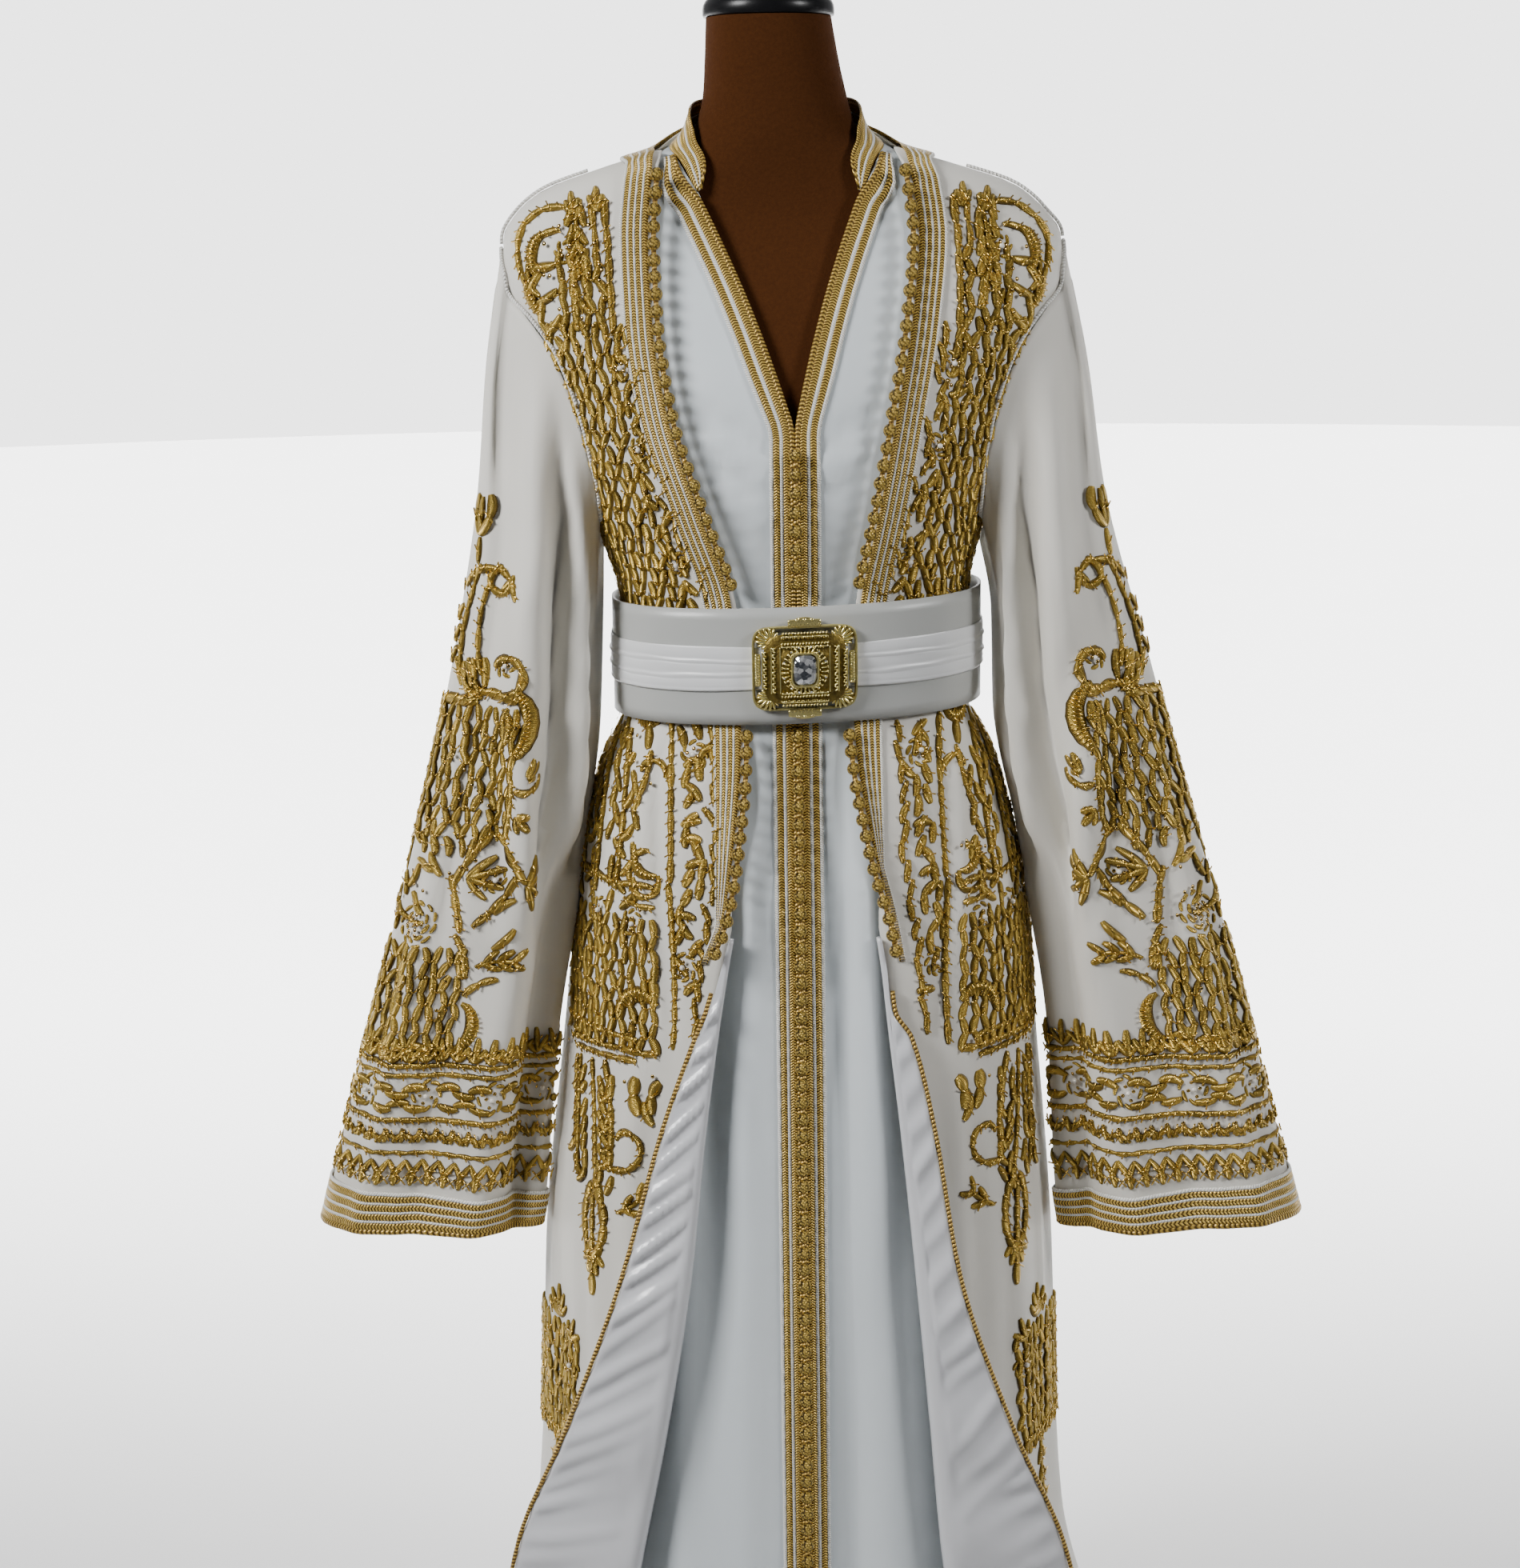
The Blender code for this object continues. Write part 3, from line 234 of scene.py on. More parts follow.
# Dress form: a moulded limbless body in a brown napped cover, from the hips to the neck, with a black
# lacquered cap set on the neck.
form_sections = (
    (0.715, 0.004, 0.128, 0.092, 0.1), (0.8, 0.004, 0.15, 0.106, 0.118), (0.87, 0.004, 0.146, 0.102, 0.114),
    (0.978, 0.006, 0.121, 0.083, 0.084), (1.03, 0.006, 0.118, 0.08, 0.076),
    (1.085, 0.004, 0.126, 0.088, 0.074), (1.15, 0.003, 0.144, 0.098, 0.078),
    (1.21, 0.002, 0.158, 0.092, 0.082), (1.27, 0.002, 0.18, 0.074, 0.078),
    (1.31, 0.001, 0.194, 0.058, 0.066), (1.332, 0, 0.186, 0.05, 0.056), (1.35, -0.001, 0.156, 0.046, 0.05),
    (1.37, -0.002, 0.114, 0.045, 0.048), (1.388, -0.003, 0.08, 0.046, 0.05),
    (1.404, -0.004, 0.062, 0.047, 0.053), (1.424, -0.004, 0.0545, 0.047, 0.053),
    (1.455, -0.006, 0.0495, 0.047, 0.052), (1.486, -0.008, 0.046, 0.046, 0.05),
)


class Line:
    """A smooth line with no overshoot through a table's rows, along the table's first column."""

    def __init__(self, rows):
        table = np.array(rows, float)
        self.at, self.value = table[:, 0], table[:, 1:]
        rise = np.diff(self.value, axis=0) / np.diff(self.at)[:, None]
        self.slope = np.zeros_like(self.value)
        self.slope[0], self.slope[-1] = rise[0], rise[-1]
        same = rise[:-1] * rise[1:] > 0
        total = np.where(same, rise[:-1] + rise[1:], 1)
        self.slope[1:-1] = np.where(same, 2 * rise[:-1] * rise[1:] / total, 0)

    def __call__(self, where):
        where = np.clip(np.atleast_1d(np.asarray(where, float)), self.at[0], self.at[-1])
        i = np.clip(np.searchsorted(self.at, where) - 1, 0, len(self.at) - 2)
        step = (self.at[i + 1] - self.at[i])[:, None]
        t = (where - self.at[i])[:, None] / step
        rest = (2 * t**3 - 3 * t**2 + 1) * self.value[i] + (3 * t**2 - 2 * t**3) * self.value[i + 1]
        lean = (t**3 - 2 * t**2 + t) * self.slope[i] + (t**3 - t**2) * self.slope[i + 1]
        return rest + step * lean


def blend(first, second, part):
    return first + (second - first) * part


def ease(part):
    part = np.clip(part, 0, 1)
    return part * part * (3 - 2 * part)


def signed_power(value, power):
    return np.copysign(np.abs(value) ** power, value)


def unit(vectors):
    return vectors / np.maximum(np.linalg.norm(vectors, axis=-1, keepdims=True), 1e-12)


def crease_lift(creases, turn, spot, reach, stretch=1):
    """How far small creases lift the cloth. Each runs from a turn in degrees and a spot along the cloth to
    another, with its half width and lift; reach gives the cloth's radius at a spot."""
    total = np.zeros(len(turn))
    here = reach(spot)
    for turn_a, spot_a, turn_b, spot_b, width, size in creases:
        away = (turn - math.radians(turn_a) + math.pi) % (2 * math.pi) - math.pi
        x, z = away * here, (spot - spot_a) * stretch
        along_x = math.radians(turn_b - turn_a) * np.ravel(reach((spot_a + spot_b) / 2))[0]
        along_z = (spot_b - spot_a) * stretch
        length = math.hypot(along_x, along_z)
        t = (x * along_x + z * along_z) / length**2
        off = (x * along_z - z * along_x) / length
        fade = ease(t / 0.3 + 0.5) * ease((1 - t) / 0.3 + 0.5)
        total += size * fade * np.exp(-((off / width) ** 2))
    return total


class Layer:
    """A round of cloth, or the form's skin: rings with a centre, a half width and two depths at each
    height, with large folds by turn and small creases pressed into it."""

    roundness = 2.25

    def __init__(self, rows, folds=(), creases=()):
        self.rows = Line(rows)
        self.folds = folds
        self.creases = creases

    def skin(self, turn, height):
        centre, half_width, front, back = self.rows(height).T
        power = 2 / self.roundness
        depth = np.where(np.cos(turn) > 0, front, back)
        across = half_width * signed_power(np.sin(turn), power)
        deep = -depth * signed_power(np.cos(turn), power)
        fold = np.zeros_like(across)
        for middle, top, size, spread in self.folds:
            away = (np.degrees(turn) - middle + 180) % 360 - 180
            fold += size * ease((top - height) / 0.45) * np.exp(-((away / spread) ** 2))
        grow = 1 + fold / np.hypot(across, deep)
        return np.stack([centre + across * grow, deep * grow, height], axis=-1)

    def point(self, turn, height, out=0):
        turn, height = np.broadcast_arrays(np.atleast_1d(turn).astype(float), np.asarray(height, float))
        here = self.skin(turn, height)
        step = 0.002
        around = self.skin(turn + step, height) - self.skin(turn - step, height)
        up = self.skin(turn, height + step) - self.skin(turn, height - step)
        lift = np.asarray(out) + crease_lift(self.creases, turn, height, lambda spot: self.rows(spot)[:, 1])
        return here + unit(np.cross(around, up)) * lift[..., None]

    def turn_at(self, across, height):
        """The turn at which the front of the ring has this X."""
        centre, half_width = self.rows(height)[:, :2].T
        part = np.clip((across - centre) / half_width, -1, 1)
        return np.arcsin(signed_power(part, self.roundness / 2))


def laid_grid(name, columns, rows, place, closed=False, pattern=None, kinds=None):
    """A fine grid laid where place(u, v) says. Pattern(u, v, column) maps each face's corners in metres, and
    kinds picks each face's finish by its column."""
    shape = bmesh.new()
    bmesh.ops.create_grid(shape, x_segments=columns, y_segments=rows, size=0.5)
    mesh = mesh_of(name, shape)
    u, v, _ = (got(mesh.vertices, "co", 3) + 0.5).T
    put(mesh.vertices, "co", place(u, v))
    if pattern is not None:
        corners = got(mesh.loops, "vertex_index", kind=np.int32)
        column = np.rint(u[corners] * columns).astype(int).reshape(-1, 4).min(axis=1)
        drawn = mesh.uv_layers.new(name="pattern")
        put(drawn.data, "uv", pattern(u[corners], v[corners], np.repeat(column, 4)))
        if kinds is not None:
            put(mesh.polygons, "material_index", np.array(kinds)[column], np.int32)
    if closed:
        mend(mesh, weld=1e-6)
    mesh.shade_smooth()
    return mesh


def walled(piece, thickness):
    """Gives a sheet its wall, outwards from the side that lies inside."""
    wall = piece.modifiers.new("wall", "SOLIDIFY")
    wall.thickness = thickness
    wall.offset = 1


form = Layer(form_sections)
form_cover = speckled(
    "form_cover", (0.034, 0.01, 0.0022), (0.074, 0.024, 0.0055), 0.95, 0, (420, 4, 0.7),
    ((900, 3), 0.0004, 0.5), Sheen_Weight=0.06, Sheen_Roughness=0.6, Sheen_Tint=(0.55, 0.32, 0.18, 1),
    Specular_IOR_Level=0.1,
)


def form_place(u, v):
    height = blend(form_sections[0][0], form_sections[-1][0], v)
    return form.skin(2 * math.pi * u, height)


form_mesh = laid_grid("form_body", 72, 110, form_place, closed=True)
mend(form_mesh, fill=True, outward=True)
form_mesh.set_sharp_from_angle(angle=math.radians(50))
thing_of("form_body", form_mesh, form_cover, "form", "form_torso")

cap_radius = 0.0485
cap_profile = [(0, 0), (cap_radius - 0.002, 0), (cap_radius - 0.0006, 0.0006), (cap_radius, 0.002)]
cap_profile += [
    (cap_radius * math.cos(angle), 0.006 + 0.02 * math.sin(angle)) for angle in np.linspace(0, 1.5, 12)
]
cap_profile.append((0, 0.026))
cap_lacquer = speckled(
    "cap_lacquer", (0.004, 0.004, 0.005), (0.009, 0.009, 0.01), 0.3, 0, (60,), ((300,), 0.0002, 0.2),
    Specular_IOR_Level=0.25,
)
cap_centre = (form_sections[-1][1], 0.002, form_sections[-1][0] + seam_gap)
turned("form_neck_cap", cap_profile, cap_centre, 64, cap_lacquer, "cap", "form_cap")


# Inner dress: bluish white satin in two fronts and a back, sewn at the sides and shoulders. It hangs from
# the shoulders, is drawn in under the belt, and falls to the floor in a few soft folds.
cloth_thickness = 0.0012
hem_height = 0.03
underarm_height = 1.108
shoulder_tip_height = 1.322
placket_centre = 0.0065
v_foot_height = 1.195
v_top_height = 1.36
v_top_across = {-1: -0.06, 1: 0.0555}
sides = {"left": -1, "right": 1}
dress_sections = (
    (0.03, 0.004, 0.214, 0.178, 0.215), (0.15, 0.004, 0.204, 0.17, 0.2), (0.32, 0.004, 0.19, 0.158, 0.18),
    (0.52, 0.004, 0.176, 0.142, 0.158), (0.72, 0.005, 0.163, 0.124, 0.136), (0.85, 0.005, 0.152, 0.11, 0.12),
    (0.978, 0.006, 0.1255, 0.088, 0.089), (1.03, 0.006, 0.1225, 0.085, 0.081),
    (1.085, 0.004, 0.1305, 0.093, 0.079), (1.15, 0.003, 0.149, 0.103, 0.083),
    (1.21, 0.002, 0.163, 0.097, 0.087), (1.27, 0.002, 0.186, 0.079, 0.083), (1.31, 0.001, 0.2, 0.063, 0.071),
    (1.336, 0, 0.192, 0.055, 0.061), (1.355, -0.001, 0.162, 0.051, 0.055),
    (1.3742, -0.002, 0.118, 0.05, 0.053), (1.3908, -0.003, 0.084, 0.05, 0.054),
    (1.408, -0.004, 0.0665, 0.051, 0.057), (1.432, -0.004, 0.059, 0.051, 0.057),
)
dress_folds = (
    (22, 0.93, 0.006, 9), (55, 0.9, 0.008, 14), (110, 0.9, 0.01, 16), (150, 0.9, 0.01, 16),
    (-165, 0.9, 0.01, 16), (-120, 0.9, 0.01, 16), (-60, 0.9, 0.008, 14), (-24, 0.93, 0.007, 9),
)
# Small creases of the dress's front: from x and height to x and height, half width, lift (troughs below 0).
dress_front_creases = (
    (-0.03, 0.9, -0.048, 0.06, 0.013, 0.007), (-0.058, 0.78, -0.088, 0.06, 0.014, -0.008),
    (0.056, 0.86, 0.082, 0.06, 0.012, 0.008), (0.034, 0.84, 0.048, 0.06, 0.011, -0.008),
    (-0.062, 1.206, -0.012, 1.176, 0.0045, -0.0038), (-0.058, 1.19, -0.012, 1.161, 0.0045, 0.0034),
    (-0.056, 1.172, -0.012, 1.145, 0.0045, -0.0034), (-0.05, 1.152, -0.012, 1.128, 0.0045, 0.0026),
    (0.062, 1.202, 0.024, 1.178, 0.0045, -0.0034), (0.06, 1.184, 0.024, 1.162, 0.0045, 0.003),
    (0.056, 1.166, 0.024, 1.146, 0.0045, -0.0028), (-0.046, 1.13, -0.012, 1.112, 0.0045, -0.002),
    (-0.036, 0.95, -0.006, 0.858, 0.0075, -0.0033), (-0.02, 0.93, -0.004, 0.8, 0.006, 0.0024),
    (-0.045, 0.86, -0.026, 0.65, 0.009, -0.003), (0.04, 0.96, 0.034, 0.7, 0.007, -0.003),
    (0.052, 0.9, 0.05, 0.52, 0.01, 0.0042), (0.03, 0.82, 0.038, 0.42, 0.008, 0.0024),
    (-0.04, 0.64, -0.052, 0.25, 0.014, -0.0039), (-0.072, 0.56, -0.085, 0.12, 0.016, 0.0045),
    (0.07, 0.6, 0.078, 0.15, 0.013, -0.0048), (0.026, 0.48, 0.03, 0.08, 0.012, -0.0027),
)
# The same for its hidden back and sides: from turn and height to turn and height, half width, lift.
dress_back_creases = (
    (180, 0.96, 176, 0.5, 0.011, 0.003), (158, 0.82, 164, 0.42, 0.01, -0.0028),
    (205, 0.95, 199, 0.38, 0.012, 0.0026), (226, 0.8, 222, 0.3, 0.011, -0.0024),
    (134, 0.93, 138, 0.34, 0.012, 0.0024), (105, 0.8, 104, 0.3, 0.011, -0.0022),
    (250, 0.9, 254, 0.26, 0.012, 0.0022),
)

armhole = Line((
    (1.108, 0.14), (1.14, 0.1425), (1.19, 0.15), (1.245, 0.169), (1.272, 0.188), (1.292, 0.204),
    (1.322, 0.208),
))
collar_line = Line((
    (20, 1.36, 1.3612), (27, 1.369, 1.379), (35, 1.377, 1.388), (49, 1.385, 1.398), (70, 1.3915, 1.413),
    (90, 1.396, 1.424), (125, 1.405, 1.43), (180, 1.408, 1.431),
))


def turned_creases(layer, creases):
    """Creases given by x on the front, as turns."""
    found = []
    for x_a, height_a, x_b, height_b, width, size in creases:
        turns = np.degrees(layer.turn_at(np.array((x_a, x_b)), np.array((height_a, height_b))))
        found.append((turns[0], height_a, turns[1], height_b, width, size))
    return found


dress = Layer(dress_sections, dress_folds)
dress.creases = turned_creases(dress, dress_front_creases) + list(dress_back_creases)


def neck_edge_x(height, side):
    """X of the V's edge, from its foot to its top."""
    part = (height - v_foot_height) / (v_top_height - v_foot_height)
    foot = placket_centre + side * 0.0002
    return blend(foot, v_top_across[side], part) - side * 0.004 * np.sin(np.pi * part)


def dress_inner_turn(height, side):
    """Turn of a dress front's inner edge: the middle, then the V, then the collar's seam."""
    middle = side * dress.turn_at(placket_centre + side * 0.0002, height)
    opening = side * dress.turn_at(neck_edge_x(np.clip(height, v_foot_height, v_top_height), side), height)
    turns = np.linspace(20, 90, 71)
    seam = np.radians(np.interp(height, collar_line(turns)[:, 0], turns))
    return np.where(height <= v_foot_height, middle, np.where(height <= v_top_height, opening, seam))


def outer_turn(layer, height):
    """Turn of a panel's outer edge: the side seam, the armhole, then the shoulder seam."""
    height = np.atleast_1d(height)
    turn = layer.turn_at(layer.rows(height)[:, 0] + armhole(height)[:, 0], height)
    near_end = np.minimum(height - underarm_height, shoulder_tip_height - height) / 0.02
    return blend(np.pi / 2, turn, ease(near_end))


def seam_turn(layer, height):
    return 0.5 * seam_gap / layer.rows(height)[:, 1]


def panel_front(layer, side, top, inner_turn):
    """Lays a front panel from its hem to its top, between its inner edge and the side seam."""

    def place(u, v):
        height = blend(hem_height, top, v)
        inner = inner_turn(height, side)
        outer = outer_turn(layer, height) - seam_turn(layer, height)
        part = u if side > 0 else 1 - u
        return layer.point(side * blend(inner, np.maximum(outer, inner + 0.004), part), height)

    return place


def panel_back(layer, neck):
    """Lays a back panel: level rows to the shoulder tips, then rows that lean up to the neck."""
    level_part = 0.88

    def place(u, v):
        height = blend(hem_height, shoulder_tip_height, np.minimum(v / level_part, 1))
        edge = np.pi - outer_turn(layer, height) + seam_turn(layer, height)
        tip = np.pi / 2 + seam_turn(layer, np.array([shoulder_tip_height]))
        edge = np.where(v <= level_part, edge, tip)
        turn = blend(edge, 2 * np.pi - edge, u)
        low, high = neck(np.degrees(np.pi - np.abs(np.pi - turn)))
        part = np.clip((v - level_part) / (1 - level_part), 0, 1)
        yoke = blend(shoulder_tip_height, low, np.minimum(part / 0.8, 1))
        yoke = blend(yoke, high, np.clip(part / 0.2 - 4, 0, 1))
        return layer.point(turn, np.where(v <= level_part, height, yoke))

    return place


def cloth_finish(name, shade, light, roughness, weave, sheen):
    """A woven white: two near shades, a fine weave pressed in, and a little sheen."""
    made = finish(name, light, roughness, Sheen_Weight=sheen, Sheen_Roughness=0.4)
    two_tone(made, grain(made, 9, 3), shade, light)
    threads = node(made, "ShaderNodeMapping", Scale=(1, 1, 0.35))
    wire(made, object_spots(made), threads.inputs["Vector"])
    relief(made, grain(made, weave, 2, 0.6, threads.outputs["Vector"]), 0.00012, 0.35)
    relief(made, grain(made, 38, 2), 0.0012, 0.35)
    return made


def cloth_piece(
    name, columns, rows, place, made, slot, stood_for,
    closed=False, wall=cloth_thickness,
):
    """A sheet of cloth with its wall, in place of its CAD node."""
    piece = thing_of(name, laid_grid(name, columns, rows, place, closed), made, slot, stood_for)
    walled(piece, wall)


dress_satin = cloth_finish("dress_satin", (0.66, 0.715, 0.745), (0.7, 0.75, 0.78), 0.42, 2200, 0.05)
for name, side in sides.items():
    cloth_piece(
        f"dress_front_{name}_satin", 34, 120, panel_front(dress, side, 1.3945, dress_inner_turn),
        dress_satin, "satin", f"dress_front_{name}",
    )


def dress_back_neck(turn):
    seam = collar_line(turn)[:, 0]
    return seam - 0.012, seam


cloth_piece(
    "dress_back_satin", 48, 90, panel_back(dress, dress_back_neck), dress_satin,
    "satin", "dress_back",
)


# Dress trims: the standing collar, and the band up the placket and the V. Rows of gold braid are sewn side
# by side with white cord between them, over a folded strip, and a looped gold edge finishes the V.
braid_thickness = 0.0011
band_lift = 0.0006
dress_band_width = 0.017
neck_centre = -0.0025


def cloth_map(made):
    return node(made, "ShaderNodeUVMap", {"uv_map": "pattern"}).outputs["UV"]


def waves(made, lean, pitch, folded=True):
    """Stitch lines across a braid: slanted both ways from its middle, or all one way as a twist."""
    parts = node(made, "ShaderNodeSeparateXYZ")
    wire(made, cloth_map(made), parts.inputs["Vector"])
    across = maths(made, "ABSOLUTE", parts.outputs["X"]) if folded else parts.outputs["X"]
    slant = maths(made, "MULTIPLY_ADD", across, lean, parts.outputs["Y"])
    wave = maths(made, "SINE", maths(made, "MULTIPLY", slant, 2 * math.pi / pitch))
    return between(made, wave, -1, 1)


def stitched(name, roughness, metallic, stitches, dark, light, depth, cut=(0, 1), strength=0.9):
    """A braid's or cord's finish: its stitch lines are pressed into it and, between two cuts, colour it with
    painted shade, dark in their grooves and light on the stitches.
    """
    made = finish(name, light, roughness, metallic)
    lines = waves(made, *stitches)
    two_tone(made, between(made, lines, *cut), dark, light)
    relief(made, lines, depth, strength)
    return made


# The braids', loops' and cords' dark tones are painted shade in their stitch grooves.
gold_braid = stitched(
    "gold_braid", 0.36, 0.55, (0.0016, 0.0021), (0.09, 0.044, 0.005), (0.8, 0.55, 0.13), 0.0005,
    cut=(0.15, 0.75),
)
white_cord = stitched(
    "white_cord", 0.55, 0, (0.0008, 0.0017, False), (0.6, 0.57, 0.5), (0.9, 0.89, 0.85), 0.0005,
    cut=(0, 0.5), strength=0.8,
)
gold_loops = stitched(
    "gold_loops", 0.36, 0.55, (0.001, 0.003), (0.07, 0.034, 0.004), (0.68, 0.45, 0.1), 0.0006,
)

# Across each row of a trim: part of the row, height in millimetres.
braid_shape = ((0.14, 0.55), (0.32, 0.75), (0.5, 0.35), (0.68, 0.75), (0.86, 0.55), (1, 0))
cord_shape = ((0.3, 0.85), (0.7, 0.85), (1, 0))
loop_shape = ((0.25, 0.8), (0.5, 0.95), (0.75, 0.75), (1, 0.05))
trim_finishes = [gold_braid, white_cord, gold_loops]
row_kinds = {"braid": (0, braid_shape), "cord": (1, cord_shape), "loops": (2, loop_shape)}


def trim(name, rows_across, length, step, place, slot, stood_for, closed=False):
    """A strip of sewn rows, each a (kind, width) pair, laid where place(across, along, lift) says."""
    across, lift, kinds, ends = [0], [0], [], []
    total = sum(width for _, width in rows_across)
    start = 0
    for what, width in rows_across:
        index, shape_rows = row_kinds[what]
        before = 0
        for part, height in shape_rows:
            across.append((start + part * width) / total)
            lift.append(height / 1000)
            kinds.append(index)
            ends.append((2 * before - 1, 2 * part - 1))
            before = part
        start += width
    across, lift, ends = np.array(across), np.array(lift), np.array(ends)
    count = len(kinds)

    def laid(u, v):
        row = np.rint(u * count).astype(int)
        return place(across[row], v, lift[row])

    def pattern(u, v, column):
        first, second = ends[column].T
        return np.stack([np.where(np.rint(u * count) == column, first, second), v * length], axis=-1)

    mesh = laid_grid(name, count, max(int(length / step), 1), laid, closed, pattern, kinds)
    walled(thing_of(name, mesh, trim_finishes, slot, stood_for), braid_thickness)


class Path:
    """Even walking along a row of stations: from a part of the whole length to the stations' values."""

    def __init__(self, stations, spots):
        gaps = np.linalg.norm(np.diff(spots, axis=0), axis=1)
        self.at = np.concatenate([[0], np.cumsum(gaps)])
        self.length = float(self.at[-1])
        self.stations = np.asarray(stations, float)

    def __call__(self, part):
        where = np.asarray(part) * self.length
        return np.stack([np.interp(where, self.at, column) for column in self.stations.T], axis=-1)


def dress_band_edge(side):
    """The band's inner edge and which way it widens: up the middle, up the V, then beside the collar."""
    low = np.linspace(hem_height + 0.001, v_foot_height - 0.006, 60)
    stations = [(placket_centre + side * 0.0005, height) for height in low]
    for height in np.linspace(v_foot_height + 0.004, v_top_height - 0.002, 14):
        stations.append((neck_edge_x(height, side) + side * 0.0004, height))
    for away, height in ((0.065, 1.3672), (0.0705, 1.3755), (0.073, 1.382), (0.0745, 1.387)):
        stations.append((neck_centre + side * away, height))
    stations = np.array(stations, float)
    along = unit(np.gradient(stations, axis=0))
    widen = np.stack([side * along[:, 1], -side * along[:, 0]], axis=-1)
    width = dress_band_width + 0.0025 * ease((stations[:, 1] - v_foot_height) / 0.05)
    width = width * (1 - 0.62 * ease((stations[:, 1] - 1.37) / 0.016))
    return np.concatenate([stations, widen * width[:, None]], axis=1)


dress_band_rows = (("loops", 3), ("braid", 4.6), ("cord", 2.2), ("braid", 4.6), ("cord", 1.6))
for name, side in sides.items():
    edge = dress_band_edge(side)
    band_path = Path(edge, dress.point(dress.turn_at(edge[:, 0], edge[:, 1]), edge[:, 1]))

    def band_place(across, along, lift, side=side, band_path=band_path):
        x, z, widen_x, widen_z = band_path(along).T
        part = across if side > 0 else 1 - across
        x, z = x + part * widen_x, z + part * widen_z
        return dress.point(dress.turn_at(x, z), z, cloth_thickness + band_lift + lift)

    trim(
        f"dress_band_{name}_braid", dress_band_rows[::side], band_path.length, 0.006, band_place, "braid",
        f"dress_band_{name}",
    )


def collar_place(across, along, lift):
    """From the right front end, round the back, to the left front end."""
    ends = [dress.turn_at(neck_edge_x(v_top_height, side), v_top_height)[0] for side in (1, -1)]
    starts = np.degrees(np.abs(ends))
    sweep = blend(360 - starts[1] - 1, starts[0] + 1, along)
    seam, top = collar_line(np.maximum(np.where(sweep <= 180, sweep, 360 - sweep), 20)).T
    return dress.point(np.radians(sweep), blend(seam + 0.001, top, across), 0.0004 + 0.8 * lift)


collar_rows = (
    ("braid", 5.2), ("cord", 1.3), ("braid", 5.2), ("cord", 1.3), ("braid", 5.2), ("loops", 2.8),
)
trim("dress_collar_braid", collar_rows, 0.42, 0.0035, collar_place, "braid", "dress_collar")


# Dress buttons: knotted balls of gold thread on a gold cord, sewn down the middle of the placket. They are
# stopped under the belt. The buttons stay fastened.
button_size = 0.0103
dress_button_pitch = 0.013
belt_clear_low, belt_clear_high = 0.9726, 1.078


def copies(name, template, spots, axes, made, slot, *nodes):
    """Many copies of one small shape, joined: each at its spot, laid along its own three axes."""
    shape = mesh_of(name + "_one", template)
    corners = got(shape.vertices, "co", 3)
    rounds = got(shape.loops, "vertex_index", kind=np.int32)
    starts = got(shape.polygons, "loop_start", kind=np.int32)
    bpy.data.meshes.remove(shape)
    count = len(spots)
    steps = np.arange(count)[:, None]
    mesh = bpy.data.meshes.new(name)
    mesh.vertices.add(count * len(corners))
    mesh.loops.add(count * len(rounds))
    mesh.polygons.add(count * len(starts))
    put(mesh.vertices, "co", spots[:, None, :] + np.einsum("nij,kj->nki", axes, corners))
    put(mesh.loops, "vertex_index", rounds + steps * len(corners), np.int32)
    put(mesh.polygons, "loop_start", starts + steps * len(rounds), np.int32)
    mesh.update(calc_edges=True)
    put(mesh.attributes.new("own", "FLOAT_VECTOR", "POINT").data, "vector", np.tile(corners, (count, 1)))
    mesh.shade_smooth()
    return thing_of(name, mesh, made, slot, *nodes)


def own_spots(made):
    """Each copy's own coordinates, the same on all copies."""
    return node(made, "ShaderNodeAttribute", {"attribute_name": "own"}).outputs["Vector"]


def three_axes(along, outward, size):
    """Axes for copies: across, outward and along, scaled."""
    along = unit(along)
    across = unit(np.cross(along, outward))
    return np.stack([across, np.cross(across, along), along], axis=-1) * np.asarray(size)


def ball():
    shape = bmesh.new()
    bmesh.ops.create_icosphere(shape, subdivisions=3, radius=1)
    return shape


def round_cord(name, points, radius, made, slot, *nodes, outward=(0, -1, 0), sides_around=10):
    """A round cord along its points, closed at both ends, with a map that runs along it."""
    points = np.asarray(points)
    path = Path(points, points)
    steps = max(int(path.length / (radius * 2.2)), 8)

    def place(u, v):
        inside = np.clip(v * (steps + 4) - 2, 0, steps) / steps
        end = np.minimum(v, 1 - v) * (steps + 4)
        size = radius * np.interp(end, (0, 1, 2), (0, 0.75, 1))
        spot = path(inside)
        lengthwise = unit(path(np.minimum(inside + 0.004, 1)) - path(np.maximum(inside - 0.004, 0)))
        across = unit(np.cross(lengthwise, np.asarray(outward, float)))
        out = np.cross(across, lengthwise)
        angle = 2 * np.pi * u
        return spot + size[:, None] * (np.cos(angle)[:, None] * across + np.sin(angle)[:, None] * out)

    def pattern(u, v, column):
        return np.stack([2 * u - 1, v * path.length], axis=-1)

    mesh = laid_grid(name, sides_around, steps + 4, place, closed=True, pattern=pattern)
    mend(mesh, outward=True)
    thing_of(name, mesh, made, slot, *nodes)


